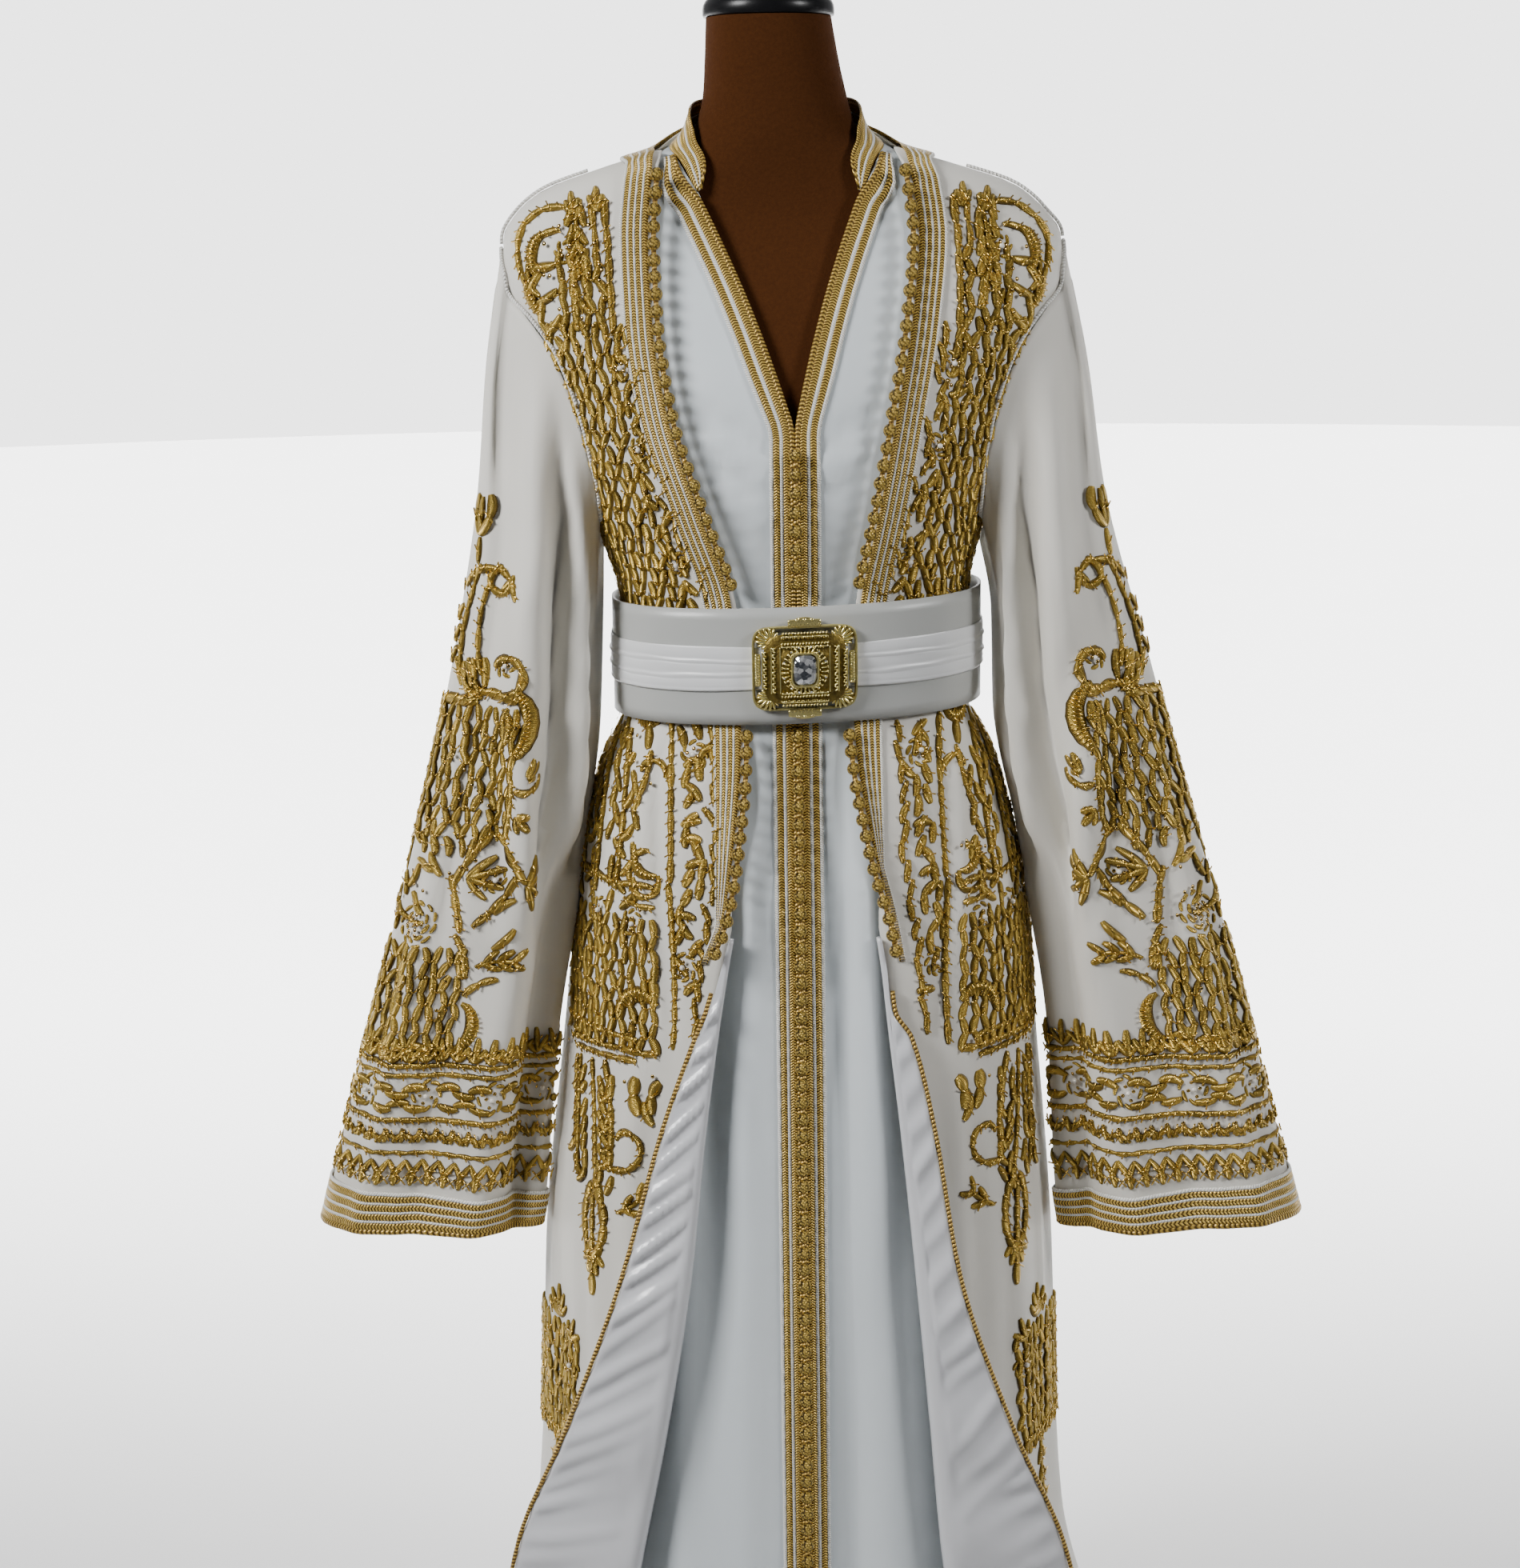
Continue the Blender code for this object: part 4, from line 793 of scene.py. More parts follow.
gold_knots = finish("gold_knots", (0.45, 0.29, 0.07), 0.34, 0.6)
knot_bumps = node(gold_knots, "ShaderNodeTexVoronoi", {"feature": "F1"}, Scale=2.6)
wire(gold_knots, own_spots(gold_knots), knot_bumps.inputs["Vector"])
# Painted shade: the thread is dark in the hollows between the knots' bumps and light on their tops; the same
# value presses in the bumps.
knot_height_and_shade = between(gold_knots, knot_bumps.outputs["Distance"], 0.8, 0.25)
two_tone(gold_knots, knot_height_and_shade, (0.024, 0.011, 0.001), (0.7, 0.48, 0.105))
knot_threads = node(
    gold_knots, "ShaderNodeTexWave", {"bands_direction": "DIAGONAL"}, Scale=3.4, Distortion=1.5,
)
wire(gold_knots, own_spots(gold_knots), knot_threads.inputs["Vector"])
relief(gold_knots, knot_height_and_shade, 0.0012, 1)
relief(gold_knots, knot_threads.outputs["Fac"], 0.0004, 0.7)
gold_twist = stitched(
    "gold_twist", 0.36, 0.6, (0.0016, 0.0032, False), (0.09, 0.042, 0.005), (0.72, 0.48, 0.12), 0.0007,
)


def even_heights(low, high, pitch):
    return low + pitch * (np.arange(int((high - low) / pitch)) + 0.5)


def button_row(name, spots, node_name):
    """Balls on a cord: no two quite the same size, turned a little against each other."""
    along = unit(np.gradient(spots, axis=0))
    chance = np.random.default_rng(len(spots))
    out = unit(np.cross(np.cross(along, (0, -1, 0)), along))
    size = button_size * 0.5 * chance.uniform(0.95, 1.02, (len(spots), 1, 1))
    copies(name, ball(), spots, three_axes(along, out, size), gold_knots, "gold_cord", node_name)
    round_cord(name + "_cord", spots + (0, 0.001, 0), 0.0019, gold_twist, "gold_cord", node_name)


dress_button_out = cloth_thickness + 0.0007 + 0.0025 + seam_gap + button_size * 0.5
dress_button_spans = {
    "lower": (hem_height + 0.0195, belt_clear_low), "upper": (belt_clear_high, v_foot_height - 0.004),
}
for name, (low, high) in dress_button_spans.items():
    heights = even_heights(low, high, dress_button_pitch)
    spots = dress.point(dress.turn_at(placket_centre, heights), heights, dress_button_out)
    button_row(f"dress_knots_{name}", spots, f"dress_buttons_{name}")


# Over-robe: ivory crepe in a back and two fronts, sewn at the sides and shoulders. It lies open over the
# dress, meets the belt at the waist, and its skirts flare in long soft folds.
edge_beyond_buttons = 0.002
fold_top = 0.828
robe_sections = (
    (0.03, 0.004, 0.282, 0.205, 0.268), (0.15, 0.004, 0.25, 0.192, 0.244), (0.3, 0.003, 0.211, 0.175, 0.214),
    (0.43, 0.004, 0.202, 0.165, 0.196), (0.55, 0.0045, 0.198, 0.154, 0.18),
    (0.69, 0.007, 0.187, 0.141, 0.16), (0.83, 0.009, 0.174, 0.126, 0.138),
    (0.93, 0.008, 0.152, 0.109, 0.112), (0.978, 0.008, 0.1315, 0.0945, 0.095),
    (1.03, 0.008, 0.1285, 0.091, 0.0865), (1.072, 0.006, 0.1322, 0.0945, 0.0855),
    (1.115, 0.004, 0.144, 0.1045, 0.087), (1.16, 0.003, 0.157, 0.1105, 0.09),
    (1.215, 0.002, 0.173, 0.103, 0.094), (1.27, 0.002, 0.196, 0.086, 0.09),
    (1.305, 0.001, 0.208, 0.072, 0.08), (1.33, 0, 0.207, 0.064, 0.07), (1.347, -0.002, 0.196, 0.06, 0.064),
    (1.3635, -0.002, 0.176, 0.057, 0.06), (1.38, -0.003, 0.129, 0.056, 0.06),
    (1.393, -0.003, 0.088, 0.057, 0.062), (1.41, -0.004, 0.076, 0.058, 0.066),
    (1.434, -0.004, 0.07, 0.058, 0.066),
)
robe_folds = (
    (19, 0.95, 0.004, 8), (52, 0.94, 0.008, 13), (84, 0.9, 0.007, 13), (118, 0.96, 0.01, 14),
    (150, 0.96, 0.012, 14), (180, 0.96, 0.01, 13), (-150, 0.96, 0.011, 14), (-118, 0.96, 0.012, 14),
    (-84, 0.9, 0.007, 13), (-50, 0.94, 0.009, 13), (-19, 0.95, 0.004, 8),
)
# The line of the buttons from the hip up: height, left x, right x.
robe_line = Line((
    (0.745, -0.073, 0.08), (0.78, -0.0636, 0.0775), (0.804, -0.0561, 0.0742), (0.8315, -0.0461, 0.0695),
    (0.884, -0.0376, 0.057), (0.955, -0.0306, 0.045), (1, -0.03, 0.0425), (1.066, -0.036, 0.0485),
    (1.13, -0.056, 0.061), (1.205, -0.08, 0.0755), (1.27, -0.09, 0.0875), (1.328, -0.0925, 0.0935),
    (1.372, -0.089, 0.088), (1.393, -0.085, 0.08),
))
robe_neck = Line(((90, 1.3925, 1.3855), (125, 1.41, 1.392), (180, 1.424, 1.398)))
# The turned-back fronts: height, x of the left fold and free edge, and of the right fold and free edge.
turnback = Line((
    (0.032, -0.18, -0.28, 0.168, 0.278), (0.15, -0.156, -0.252, 0.144, 0.244),
    (0.33, -0.122, -0.218, 0.112, 0.205), (0.435, -0.101, -0.176, 0.103, 0.163),
    (0.56, -0.08, -0.13, 0.092, 0.122), (0.674, -0.067, -0.097, 0.081, 0.103),
    (0.745, -0.057, -0.071, 0.073, 0.086), (0.764, -0.054, -0.063, 0.071, 0.074),
    (0.797, -0.0485, -0.053, 0.0675, 0.0705), (0.828, -0.0425, -0.0445, 0.063, 0.0655),
))
robe_front_creases = (
    (-0.091, 0.962, -0.087, 0.735, 0.0065, -0.0036), (-0.105, 0.95, -0.106, 0.8, 0.006, 0.0029),
    (0.108, 0.962, 0.103, 0.745, 0.0065, -0.0034), (0.122, 0.95, 0.12, 0.79, 0.006, 0.0025),
    (-0.128, 0.968, -0.143, 0.78, 0.006, -0.0022), (0.14, 0.968, 0.154, 0.79, 0.006, -0.0022),
    (-0.118, 0.7, -0.124, 0.43, 0.011, 0.004), (-0.15, 0.69, -0.16, 0.33, 0.012, -0.0031),
    (0.122, 0.69, 0.128, 0.42, 0.01, 0.004), (0.155, 0.7, 0.166, 0.3, 0.012, -0.0031),
    (-0.136, 1.118, -0.124, 1.092, 0.005, -0.0012), (0.141, 1.112, 0.128, 1.072, 0.005, -0.0017),
    (-0.15, 1.18, -0.134, 1.13, 0.006, -0.0014), (0.152, 1.18, 0.138, 1.128, 0.006, -0.0014),
    (-0.16, 1.33, -0.15, 1.27, 0.008, -0.0012), (0.164, 1.325, 0.155, 1.268, 0.008, -0.0012),
    (-0.178, 0.64, -0.19, 0.42, 0.009, 0.0032), (0.184, 0.64, 0.196, 0.4, 0.009, 0.0032),
)
robe_back_creases = (
    (180, 0.965, 178, 0.48, 0.008, -0.0064), (165, 0.968, 167, 0.52, 0.007, 0.0072),
    (196, 0.966, 193, 0.5, 0.0075, 0.0077), (150, 0.962, 153, 0.42, 0.0085, -0.0056),
    (211, 0.964, 206, 0.4, 0.0085, -0.0059), (134, 0.962, 138, 0.38, 0.009, 0.0077),
    (226, 0.96, 221, 0.36, 0.009, 0.0077), (118, 0.958, 120, 0.34, 0.009, -0.005),
    (242, 0.958, 239, 0.33, 0.009, -0.005), (103, 0.95, 103, 0.4, 0.009, 0.0056),
    (257, 0.95, 256, 0.4, 0.009, 0.0056), (172, 1.13, 176, 1.074, 0.006, -0.0032),
    (190, 1.14, 186, 1.074, 0.006, 0.0042), (150, 1.13, 158, 1.074, 0.006, -0.0029),
    (208, 1.13, 201, 1.074, 0.006, -0.0029), (160, 1.3, 150, 1.18, 0.012, -0.0029),
    (200, 1.3, 209, 1.19, 0.012, -0.0029), (180, 1.34, 180, 1.21, 0.015, 0.0042),
)
robe = Layer(robe_sections, robe_folds)
robe.creases = turned_creases(robe, robe_front_creases) + list(robe_back_creases)


def robe_line_x(height, side):
    return robe_line(height)[:, 0 if side < 0 else 1]


def robe_edge_x(height, side):
    """X of the robe's front edge, just behind the middles of its buttons, where it isn't turned back."""
    return robe_line_x(height, side) + side * edge_beyond_buttons


def fold_x(height, side):
    """X of the fold and of the free edge of the turned-back front."""
    found = turnback(height)
    return (found[:, 0], found[:, 1]) if side < 0 else (found[:, 2], found[:, 3])


def roll_radius(height):
    """How round the turned-back front rolls at its fold."""
    return blend(0.0015, 0.0085, ease((fold_top - height) / 0.4))


def robe_inner_turn(height, side):
    """Turn of a robe front's inner edge: behind the fold, then the open edge up to the shoulder."""
    low = np.minimum(height, fold_top)
    behind = fold_x(low, side)[0] + side * roll_radius(low)
    open_edge = blend(behind, robe_edge_x(height, side), ease((height - fold_top) / 0.05))
    return side * robe.turn_at(np.where(height < fold_top, behind, open_edge), height)


def robe_back_neck(turn):
    inner, outer = robe_neck(turn).T
    return outer, inner


robe_crepe = cloth_finish("robe_crepe", (0.68, 0.655, 0.595), (0.735, 0.715, 0.66), 0.62, 1800, 0.1)
for name, side in sides.items():
    cloth_piece(
        f"robe_front_{name}_crepe", 34, 130, panel_front(robe, side, 1.3915, robe_inner_turn), robe_crepe,
        "crepe", f"robe_front_{name}",
    )
cloth_piece(
    "robe_back_crepe", 72, 120, panel_back(robe, robe_back_neck), robe_crepe,
    "crepe", "robe_back",
)


# Turned-back fronts: below the hip the satin lining of each robe front rolls outwards at a soft fold and
# lies over the crepe. Its free edge is puckered by the gold cord sewn along it.
robe_satin = cloth_finish("robe_satin", (0.62, 0.625, 0.65), (0.68, 0.685, 0.71), 0.2, 2400, 0.05)
cord_top = 0.78
turnback_top = 0.82


def turnback_skin(height, side, along):
    """On the turned-back front: along 0 is behind the fold, 0.3 its front, 1 the free edge."""
    fold, edge = fold_x(height, side)
    radius = roll_radius(height)
    centre, half_width, front, _ = robe.rows(height).T
    x = fold + side * radius
    panel = robe.point(robe.turn_at(x, height), height, cloth_thickness)
    middle_y = panel[:, 1] - 2 * seam_gap - radius
    angle = np.pi * np.minimum(along, 0.3) / 0.3
    part = np.clip((along - 0.3) / 0.7, 0, 1)
    across = blend(x, edge, part)
    reach = np.minimum(np.abs(across - centre) / (half_width + 0.09), 0.98)
    start = np.abs(x - centre) / (half_width + 0.09)
    curve = front * ((1 - start**2.4) ** (1 / 2.4) - (1 - reach**2.4) ** (1 / 2.4))
    rolled_x = x - side * radius * np.sin(angle)
    rolled = np.stack([rolled_x, middle_y + radius * np.cos(angle), height], axis=-1)
    lying = np.stack([across, middle_y - radius + 0.85 * curve, height], axis=-1)
    return np.where((along < 0.3)[:, None], rolled, lying)


# Puckers from the free edge: height at the edge, rise per metre inwards, reach, half width, lift.
pucker_chance = np.random.default_rng(11)
turnback_puckers = {}
for name, side in sides.items():
    made_puckers = []
    height = 0.045
    while height < 0.76:
        steep = 0.15 + 0.85 * float(ease((height - 0.25) / 0.3))
        rise = steep * pucker_chance.uniform(0.7, 1.2) * (1 if side < 0 else -0.8)
        made_puckers.append((
            height, rise, pucker_chance.uniform(0.03, 0.085), pucker_chance.uniform(0.0035, 0.0075),
            pucker_chance.uniform(0.0026, 0.006) * (1 if side < 0 else 0.75),
        ))
        height += pucker_chance.uniform(0.016, 0.034)
    turnback_puckers[side] = made_puckers


def turnback_relief(height, side, along):
    fold, edge = fold_x(height, side)
    inward = np.clip((1 - along) / 0.7, 0, 1) * np.abs(edge - fold)
    flat_part = ease((along - 0.3) / 0.1)
    total = np.zeros(len(height))
    for edge_height, rise, reach, width, lift in turnback_puckers[side]:
        off = height - (edge_height + rise * inward)
        fade = np.exp(-((inward / reach) ** 2)) * ease(inward / 0.004 + 0.2)
        total += lift * np.exp(-((off / width) ** 2)) * fade
    wide = 0.0028 * np.sin((height + (0.5 if side < 0 else -0.6) * inward) * 62 + 1.3 * side)
    return flat_part * (total + wide * ease(inward / 0.03) * ease((0.7 - height) / 0.2))


def turnback_point(height, side, along, out=0):
    step = 0.001

    def spot(h, a):
        return turnback_skin(h, side, a)

    here = spot(height, along)
    around = spot(height, np.minimum(along + 0.01, 1)) - spot(height, np.maximum(along - 0.01, 0))
    up = spot(height + step, along) - spot(height - step, along)
    lift = np.asarray(out) + turnback_relief(height, side, along)
    return here + unit(np.cross(around, up)) * side * lift[:, None]


for name, side in sides.items():

    def turnback_place(u, v, side=side):
        part = u if side > 0 else 1 - u
        along = np.where(part < 0.25, 0.3 * part / 0.25, 0.3 + 0.7 * (part - 0.25) / 0.75)
        return turnback_point(blend(hem_height + 0.002, turnback_top, v), side, along)

    cloth_piece(
        f"robe_turnback_{name}_satin", 32, 190, turnback_place, robe_satin, "lining",
        f"robe_turnback_{name}",
    )
    heights = np.linspace(hem_height + 0.002, cord_top, 160)
    cord_line = turnback_point(heights, side, np.ones(160)) + np.array((side * 0.0027, -0.0006, 0))
    round_cord(
        f"robe_edge_cord_{name}_twist", cord_line, 0.0017, gold_twist, "gold_cord", f"robe_edge_cord_{name}",
    )


# Sleeves: wide bell sleeves of the same crepe, set into the armholes and hanging down at the sides. Each
# has its own soft creases, long ones near its inner line and short ones at the elbow.
sleeve_tables = {
    "left": (
        (0, -0.209, 1.322, -0.143, 1.108, 0.068, 0.066, 0),
        (0.12, -0.223, 1.235, -0.144, 1.045, 0.062, 0.058, -0.004),
        (0.25, -0.232, 1.145, -0.146, 0.972, 0.056, 0.052, -0.01),
        (0.4, -0.257, 1.008, -0.158, 0.885, 0.05, 0.048, -0.02),
        (0.55, -0.284, 0.897, -0.176, 0.805, 0.046, 0.046, -0.03),
        (0.7, -0.316, 0.78, -0.19, 0.722, 0.042, 0.046, -0.037),
        (0.85, -0.347, 0.67, -0.1985, 0.642, 0.038, 0.046, -0.042),
        (1, -0.374, 0.57, -0.205, 0.566, 0.035, 0.046, -0.045),
    ),
    "right": (
        (0, 0.211, 1.322, 0.15, 1.108, 0.068, 0.066, 0),
        (0.12, 0.229, 1.235, 0.16, 1.048, 0.062, 0.058, -0.004),
        (0.25, 0.241, 1.145, 0.161, 0.975, 0.056, 0.052, -0.01),
        (0.4, 0.278, 1.008, 0.1775, 0.885, 0.05, 0.048, -0.02),
        (0.55, 0.309, 0.897, 0.1965, 0.805, 0.046, 0.046, -0.03),
        (0.7, 0.344, 0.78, 0.208, 0.722, 0.042, 0.046, -0.037),
        (0.85, 0.375, 0.664, 0.212, 0.64, 0.038, 0.046, -0.042),
        (1, 0.402, 0.566, 0.216, 0.56, 0.035, 0.046, -0.045),
    ),
}
# From angle and way down to angle and way down (angle 90 is the front's middle, 180 the inner line),
# half width, lift.
sleeve_creases = (
    (94, 0.09, 136, 0.56, 0.011, -0.0185), (72, 0.08, 114, 0.58, 0.012, 0.013),
    (116, 0.1, 154, 0.46, 0.009, 0.011), (134, 0.13, 168, 0.46, 0.009, -0.013),
    (150, 0.42, 142, 1, 0.015, -0.012), (118, 0.52, 112, 1.02, 0.016, 0.008),
    (50, 0.08, 66, 0.66, 0.015, -0.007), (88, 0.3, 128, 0.47, 0.008, -0.006),
    (80, 0.36, 122, 0.53, 0.008, 0.0055), (74, 0.43, 118, 0.59, 0.0085, -0.005),
    (100, 0.05, 84, 0.26, 0.0075, 0.005), (172, 0.46, 168, 1, 0.012, 0.008),
    (86, 0.66, 84, 1.02, 0.013, -0.0055), (52, 0.62, 54, 1.02, 0.013, 0.005),
    (30, 0.3, 34, 0.8, 0.012, -0.004), (228, 0.08, 214, 0.6, 0.012, -0.011),
    (250, 0.1, 240, 0.8, 0.013, 0.009), (284, 0.16, 276, 0.92, 0.014, -0.0075),
    (312, 0.24, 308, 1, 0.014, 0.0065), (204, 0.45, 206, 1, 0.012, 0.006),
    (232, 0.55, 230, 1.02, 0.013, -0.007), (262, 0.36, 306, 0.44, 0.0088, -0.0045),
    (250, 0.46, 300, 0.52, 0.0088, 0.0045),
)
sleeve_length = 0.77


def armhole_point(side, angle, out):
    """The armhole seam on the robe, from the shoulder tip by way of the front to the underarm."""
    height = blend(underarm_height, shoulder_tip_height, 0.5 * (1 + np.cos(angle)))
    turn = outer_turn(robe, height)
    turn = np.where(np.sin(angle) < 0, np.pi - turn, turn)
    return robe.point(side * turn, height, out)


class Sleeve:
    """A sleeve's rings, from the armhole to the cuff, with its creases pressed in."""

    def __init__(self, name):
        self.rows = Line(sleeve_tables[name])
        self.side = sides[name]

    def ring(self, angle, down):
        outer_x, outer_z, inner_x, inner_z, front, back, middle = self.rows(down).T
        across = signed_power(np.cos(angle), 0.9)
        deep = signed_power(np.sin(angle), 0.9)
        part = 0.5 * (1 - across)
        depth = np.where(deep > 0, front, back)
        return np.stack([
            blend(outer_x, inner_x, part), middle - depth * deep, blend(outer_z, inner_z, part),
        ], axis=-1)

    def skin(self, angle, down):
        seam = armhole_point(self.side, angle, 0)
        seam[:, 0] += self.side * 0.0027
        start = self.ring(angle, np.zeros_like(angle))
        return self.ring(angle, down) + (seam - start) * (1 - ease(down / 0.3))[:, None]

    def point(self, angle, down, out=0):
        angle, down = np.broadcast_arrays(np.atleast_1d(angle).astype(float), np.asarray(down, float))
        step = 0.01
        around = self.skin(angle + step, down) - self.skin(angle - step, down)
        low, high = np.minimum(down + step, 1), np.maximum(down - step, 0)
        along = self.skin(angle, low) - self.skin(angle, high)
        normal = unit(np.cross(along, around) * -self.side)
        creases = crease_lift(sleeve_creases, angle, down, lambda spot: 0.055 + 0.035 * spot, sleeve_length)
        lift = np.asarray(out) + creases * ease(down / 0.06)
        return self.skin(angle, down) + normal * lift[..., None]


sleeves = {}
for name, side in sides.items():
    sleeves[name] = Sleeve(name)

    def sleeve_place(u, v, name=name, side=side):
        turn = 2 * np.pi * (u if side < 0 else 1 - u)
        return sleeves[name].point(turn, 1 - v)

    cloth_piece(
        f"robe_sleeve_{name}_crepe", 66, 104, sleeve_place, robe_crepe, "crepe", f"robe_sleeve_{name}",
        closed=True,
    )


# Robe trims: four rows of gold braid with white cord between, along the open fronts and round the neck,
# over a folded strip; four like rows and a looped edge at each cuff.
robe_band_width = 0.0195
band_beyond_buttons = 0.0056


def robe_band_edges(side):
    """The band's two edges, each as (turn, height), up the front and round to the back's middle."""
    height = np.linspace(0.8, 1.389, 120)
    line = robe_line_x(height, side)
    narrow = np.abs(robe_edge_x(np.full(120, 0.978), side) - robe_edge_x(np.minimum(height, 0.978), side))
    width = np.maximum(robe_band_width - narrow, 0.003)
    near = robe.turn_at(line + side * band_beyond_buttons, height)
    low = height - 0.0085 * ease((height - 1.345) / 0.048)
    far = robe.turn_at(line + side * (band_beyond_buttons + width), low)
    front = np.stack([near, height, far, low], axis=-1)
    degrees = np.linspace(90, 179.8, 40)
    inner, outer = robe_neck(degrees).T
    turn = side * np.radians(degrees)
    return np.concatenate([front, np.stack([turn, inner, turn, outer], axis=-1)])


robe_band_rows = (
    ("braid", 4.1), ("cord", 1), ("braid", 4.1), ("cord", 1), ("braid", 4.1), ("cord", 1), ("braid", 4.1),
    ("cord", 1.5),
)
for name, side in sides.items():
    edges = robe_band_edges(side)
    band_path = Path(edges, robe.point(edges[:, 0], edges[:, 1]))

    def band_place(across, along, lift, side=side, band_path=band_path):
        near_turn, near_height, far_turn, far_height = band_path(along).T
        part = across if side > 0 else 1 - across
        height = blend(near_height, far_height, part)
        raised = band_lift + 0.0014 * ease((height - 1.345) / 0.03)
        return robe.point(blend(near_turn, far_turn, part), height, cloth_thickness + raised + lift)

    trim(
        f"robe_band_{name}_braid", robe_band_rows[::side], band_path.length, 0.0056, band_place, "braid",
        f"robe_band_{name}",
    )

cuff_band_top = 0.945
cuff_rows = (
    ("loops", 3.4), ("braid", 5.6), ("cord", 1.6), ("braid", 5.6), ("cord", 1.6), ("braid", 5.6),
    ("cord", 1.6), ("braid", 5.6), ("cord", 2),
)
for name, side in sides.items():

    def cuff_place(across, along, lift, name=name, side=side):
        turn = 2 * np.pi * (1 - along if side < 0 else along)
        down = blend(1, cuff_band_top, across)
        return sleeves[name].point(turn, down, cloth_thickness + 2 * band_lift + lift)

    trim(
        f"robe_cuff_{name}_braid", cuff_rows, 0.42, 0.005, cuff_place, "braid", f"robe_cuff_band_{name}",
        closed=True,
    )


# Robe buttons: the same knotted balls, closer together, sewn to both open edges. They are ornament and
# have no buttonholes. Below the hip they come forward with the rolled front.
robe_button_pitch = 0.012
robe_button_spans = {"lower": (0.8044, belt_clear_low), "upper": (belt_clear_high, 1.384)}
for name, side in sides.items():
    for part, (low, high) in robe_button_spans.items():
        heights = even_heights(low, high, robe_button_pitch)
        forward = 0.008 * ease((0.87 - heights) / 0.04)
        out = cloth_thickness + 0.0016 + button_size * 0.5 + forward
        spots = robe.point(robe.turn_at(robe_line_x(heights, side), heights), heights, out)
        button_row(f"robe_knots_{name}_{part}", spots, f"robe_buttons_{name}_{part}")


# Seam cords: thin twisted white cords that cover the shoulder and armhole seams.
white_twist = stitched(
    "white_twist", 0.55, 0, (0.0013, 0.0026, False), (0.6, 0.585, 0.54), (0.9, 0.89, 0.86), 0.0006,
)
armhole_cord_end = 148


def armhole_cord_line(side):
    angle = np.radians(np.linspace(-armhole_cord_end, armhole_cord_end, 90))
    here = armhole_point(side, angle, 0)
    out = unit(armhole_point(side, angle, 0.001) - here)
    along = armhole_point(side, angle + 0.25, 0) - armhole_point(side, angle - 0.25, 0)
    aside = unit(side * np.cross(along, out))
    return here + out * (cloth_thickness + 0.0018) + aside * 0.0036


for name, side in sides.items():
    round_cord(
        f"armhole_cord_{name}_twist", armhole_cord_line(side), 0.0014, white_twist, "white_cord",
        f"armhole_cord_{name}", outward=(side * 0.7, -0.7, 0.1),
    )
    heights = np.linspace(1.3765, 1.3265, 16)
    shoulder_line = robe.point(np.full(16, side * np.pi / 2), heights, cloth_thickness + 0.0016)
    round_cord(
        f"shoulder_cord_{name}_twist", shoulder_line, 0.0013, white_twist, "white_cord",
        f"shoulder_cord_{name}", outward=(0, 0, 1),
    )


# Goldwork: satin-stitched strokes of gold thread over a padding, with bright bugle beads laid across them,
# sequins and a few pearls. It is sewn to the crepe: leaves, curls, fans and nets in a plain general layout.
gold_thread = finish("gold_thread", (0.25, 0.14, 0.02), 0.3, 0.85)
thread_map = node(gold_thread, "ShaderNodeSeparateXYZ")
wire(gold_thread, own_spots(gold_thread), thread_map.inputs["Vector"])
thread_turns = maths(gold_thread, "MULTIPLY", thread_map.outputs["Y"], 2 * math.pi / 0.001)
# Painted shade: the own Z value darkens each stroke at its sides and base and lightens its top, mixed with a
# random tone per stroke.
two_tone(gold_thread, thread_map.outputs["Z"], (0.024, 0.01, 0.001), (0.66, 0.45, 0.095))
relief(gold_thread, between(gold_thread, maths(gold_thread, "SINE", thread_turns), -1, 1), 0.0004, 0.9)
bright_beads = speckled(
    "bright_beads", (0.36, 0.21, 0.025), (0.86, 0.6, 0.16), 0.2, 0.95, (260,), ((2500,), 0.0001, 0.4),
)
sequin_gilt = speckled(
    "sequin_gilt", (0.16, 0.085, 0.01), (0.88, 0.62, 0.2), 0.12, 1, (300,), ((900,), 0.0001, 0.3),
)
seed_pearl = speckled(
    "seed_pearl", (0.74, 0.69, 0.6), (0.86, 0.82, 0.75), 0.22, 0, (500,), ((900,), 0.0001, 0.2),
    Coat_Weight=0.6,
)


def lookup(table, i, j):
    """The table's value at a place between its cells."""
    i, j = np.clip(i, 0, table.shape[0] - 1.001), np.clip(j, 0, table.shape[1] - 1.001)
    i0, j0 = i.astype(int), j.astype(int)
    near = blend(table[i0, j0], table[i0, j0 + 1], j - j0)
    return blend(near, blend(table[i0 + 1, j0], table[i0 + 1, j0 + 1], j - j0), i - i0)


class ClothChart:
    """Cloth coordinates: a metres around from a line on the cloth, at height or length b."""

    def __init__(self, place, lengths, turns, reach):
        grid_b, grid_turn = np.meshgrid(lengths, turns, indexing="ij")
        spots = place(grid_turn.ravel(), grid_b.ravel(), 0).reshape(len(lengths), len(turns), 3)
        arc = np.zeros(grid_b.shape)
        arc[:, 1:] = np.cumsum(np.linalg.norm(np.diff(spots, axis=1), axis=-1), axis=1)
        arc -= np.array([[np.interp(0, turns, one)] for one in arc])
        self.around = np.linspace(*reach, 161)
        self.lengths, self.place = lengths, place
        self.turns = np.array([np.interp(self.around, one, turns) for one in arc])

    def __call__(self, a, b, out=0):
        i = (b - self.lengths[0]) / (self.lengths[1] - self.lengths[0])
        j = (a - self.around[0]) / (self.around[1] - self.around[0])
        return self.place(lookup(self.turns, i, j), b, cloth_thickness + np.asarray(out))


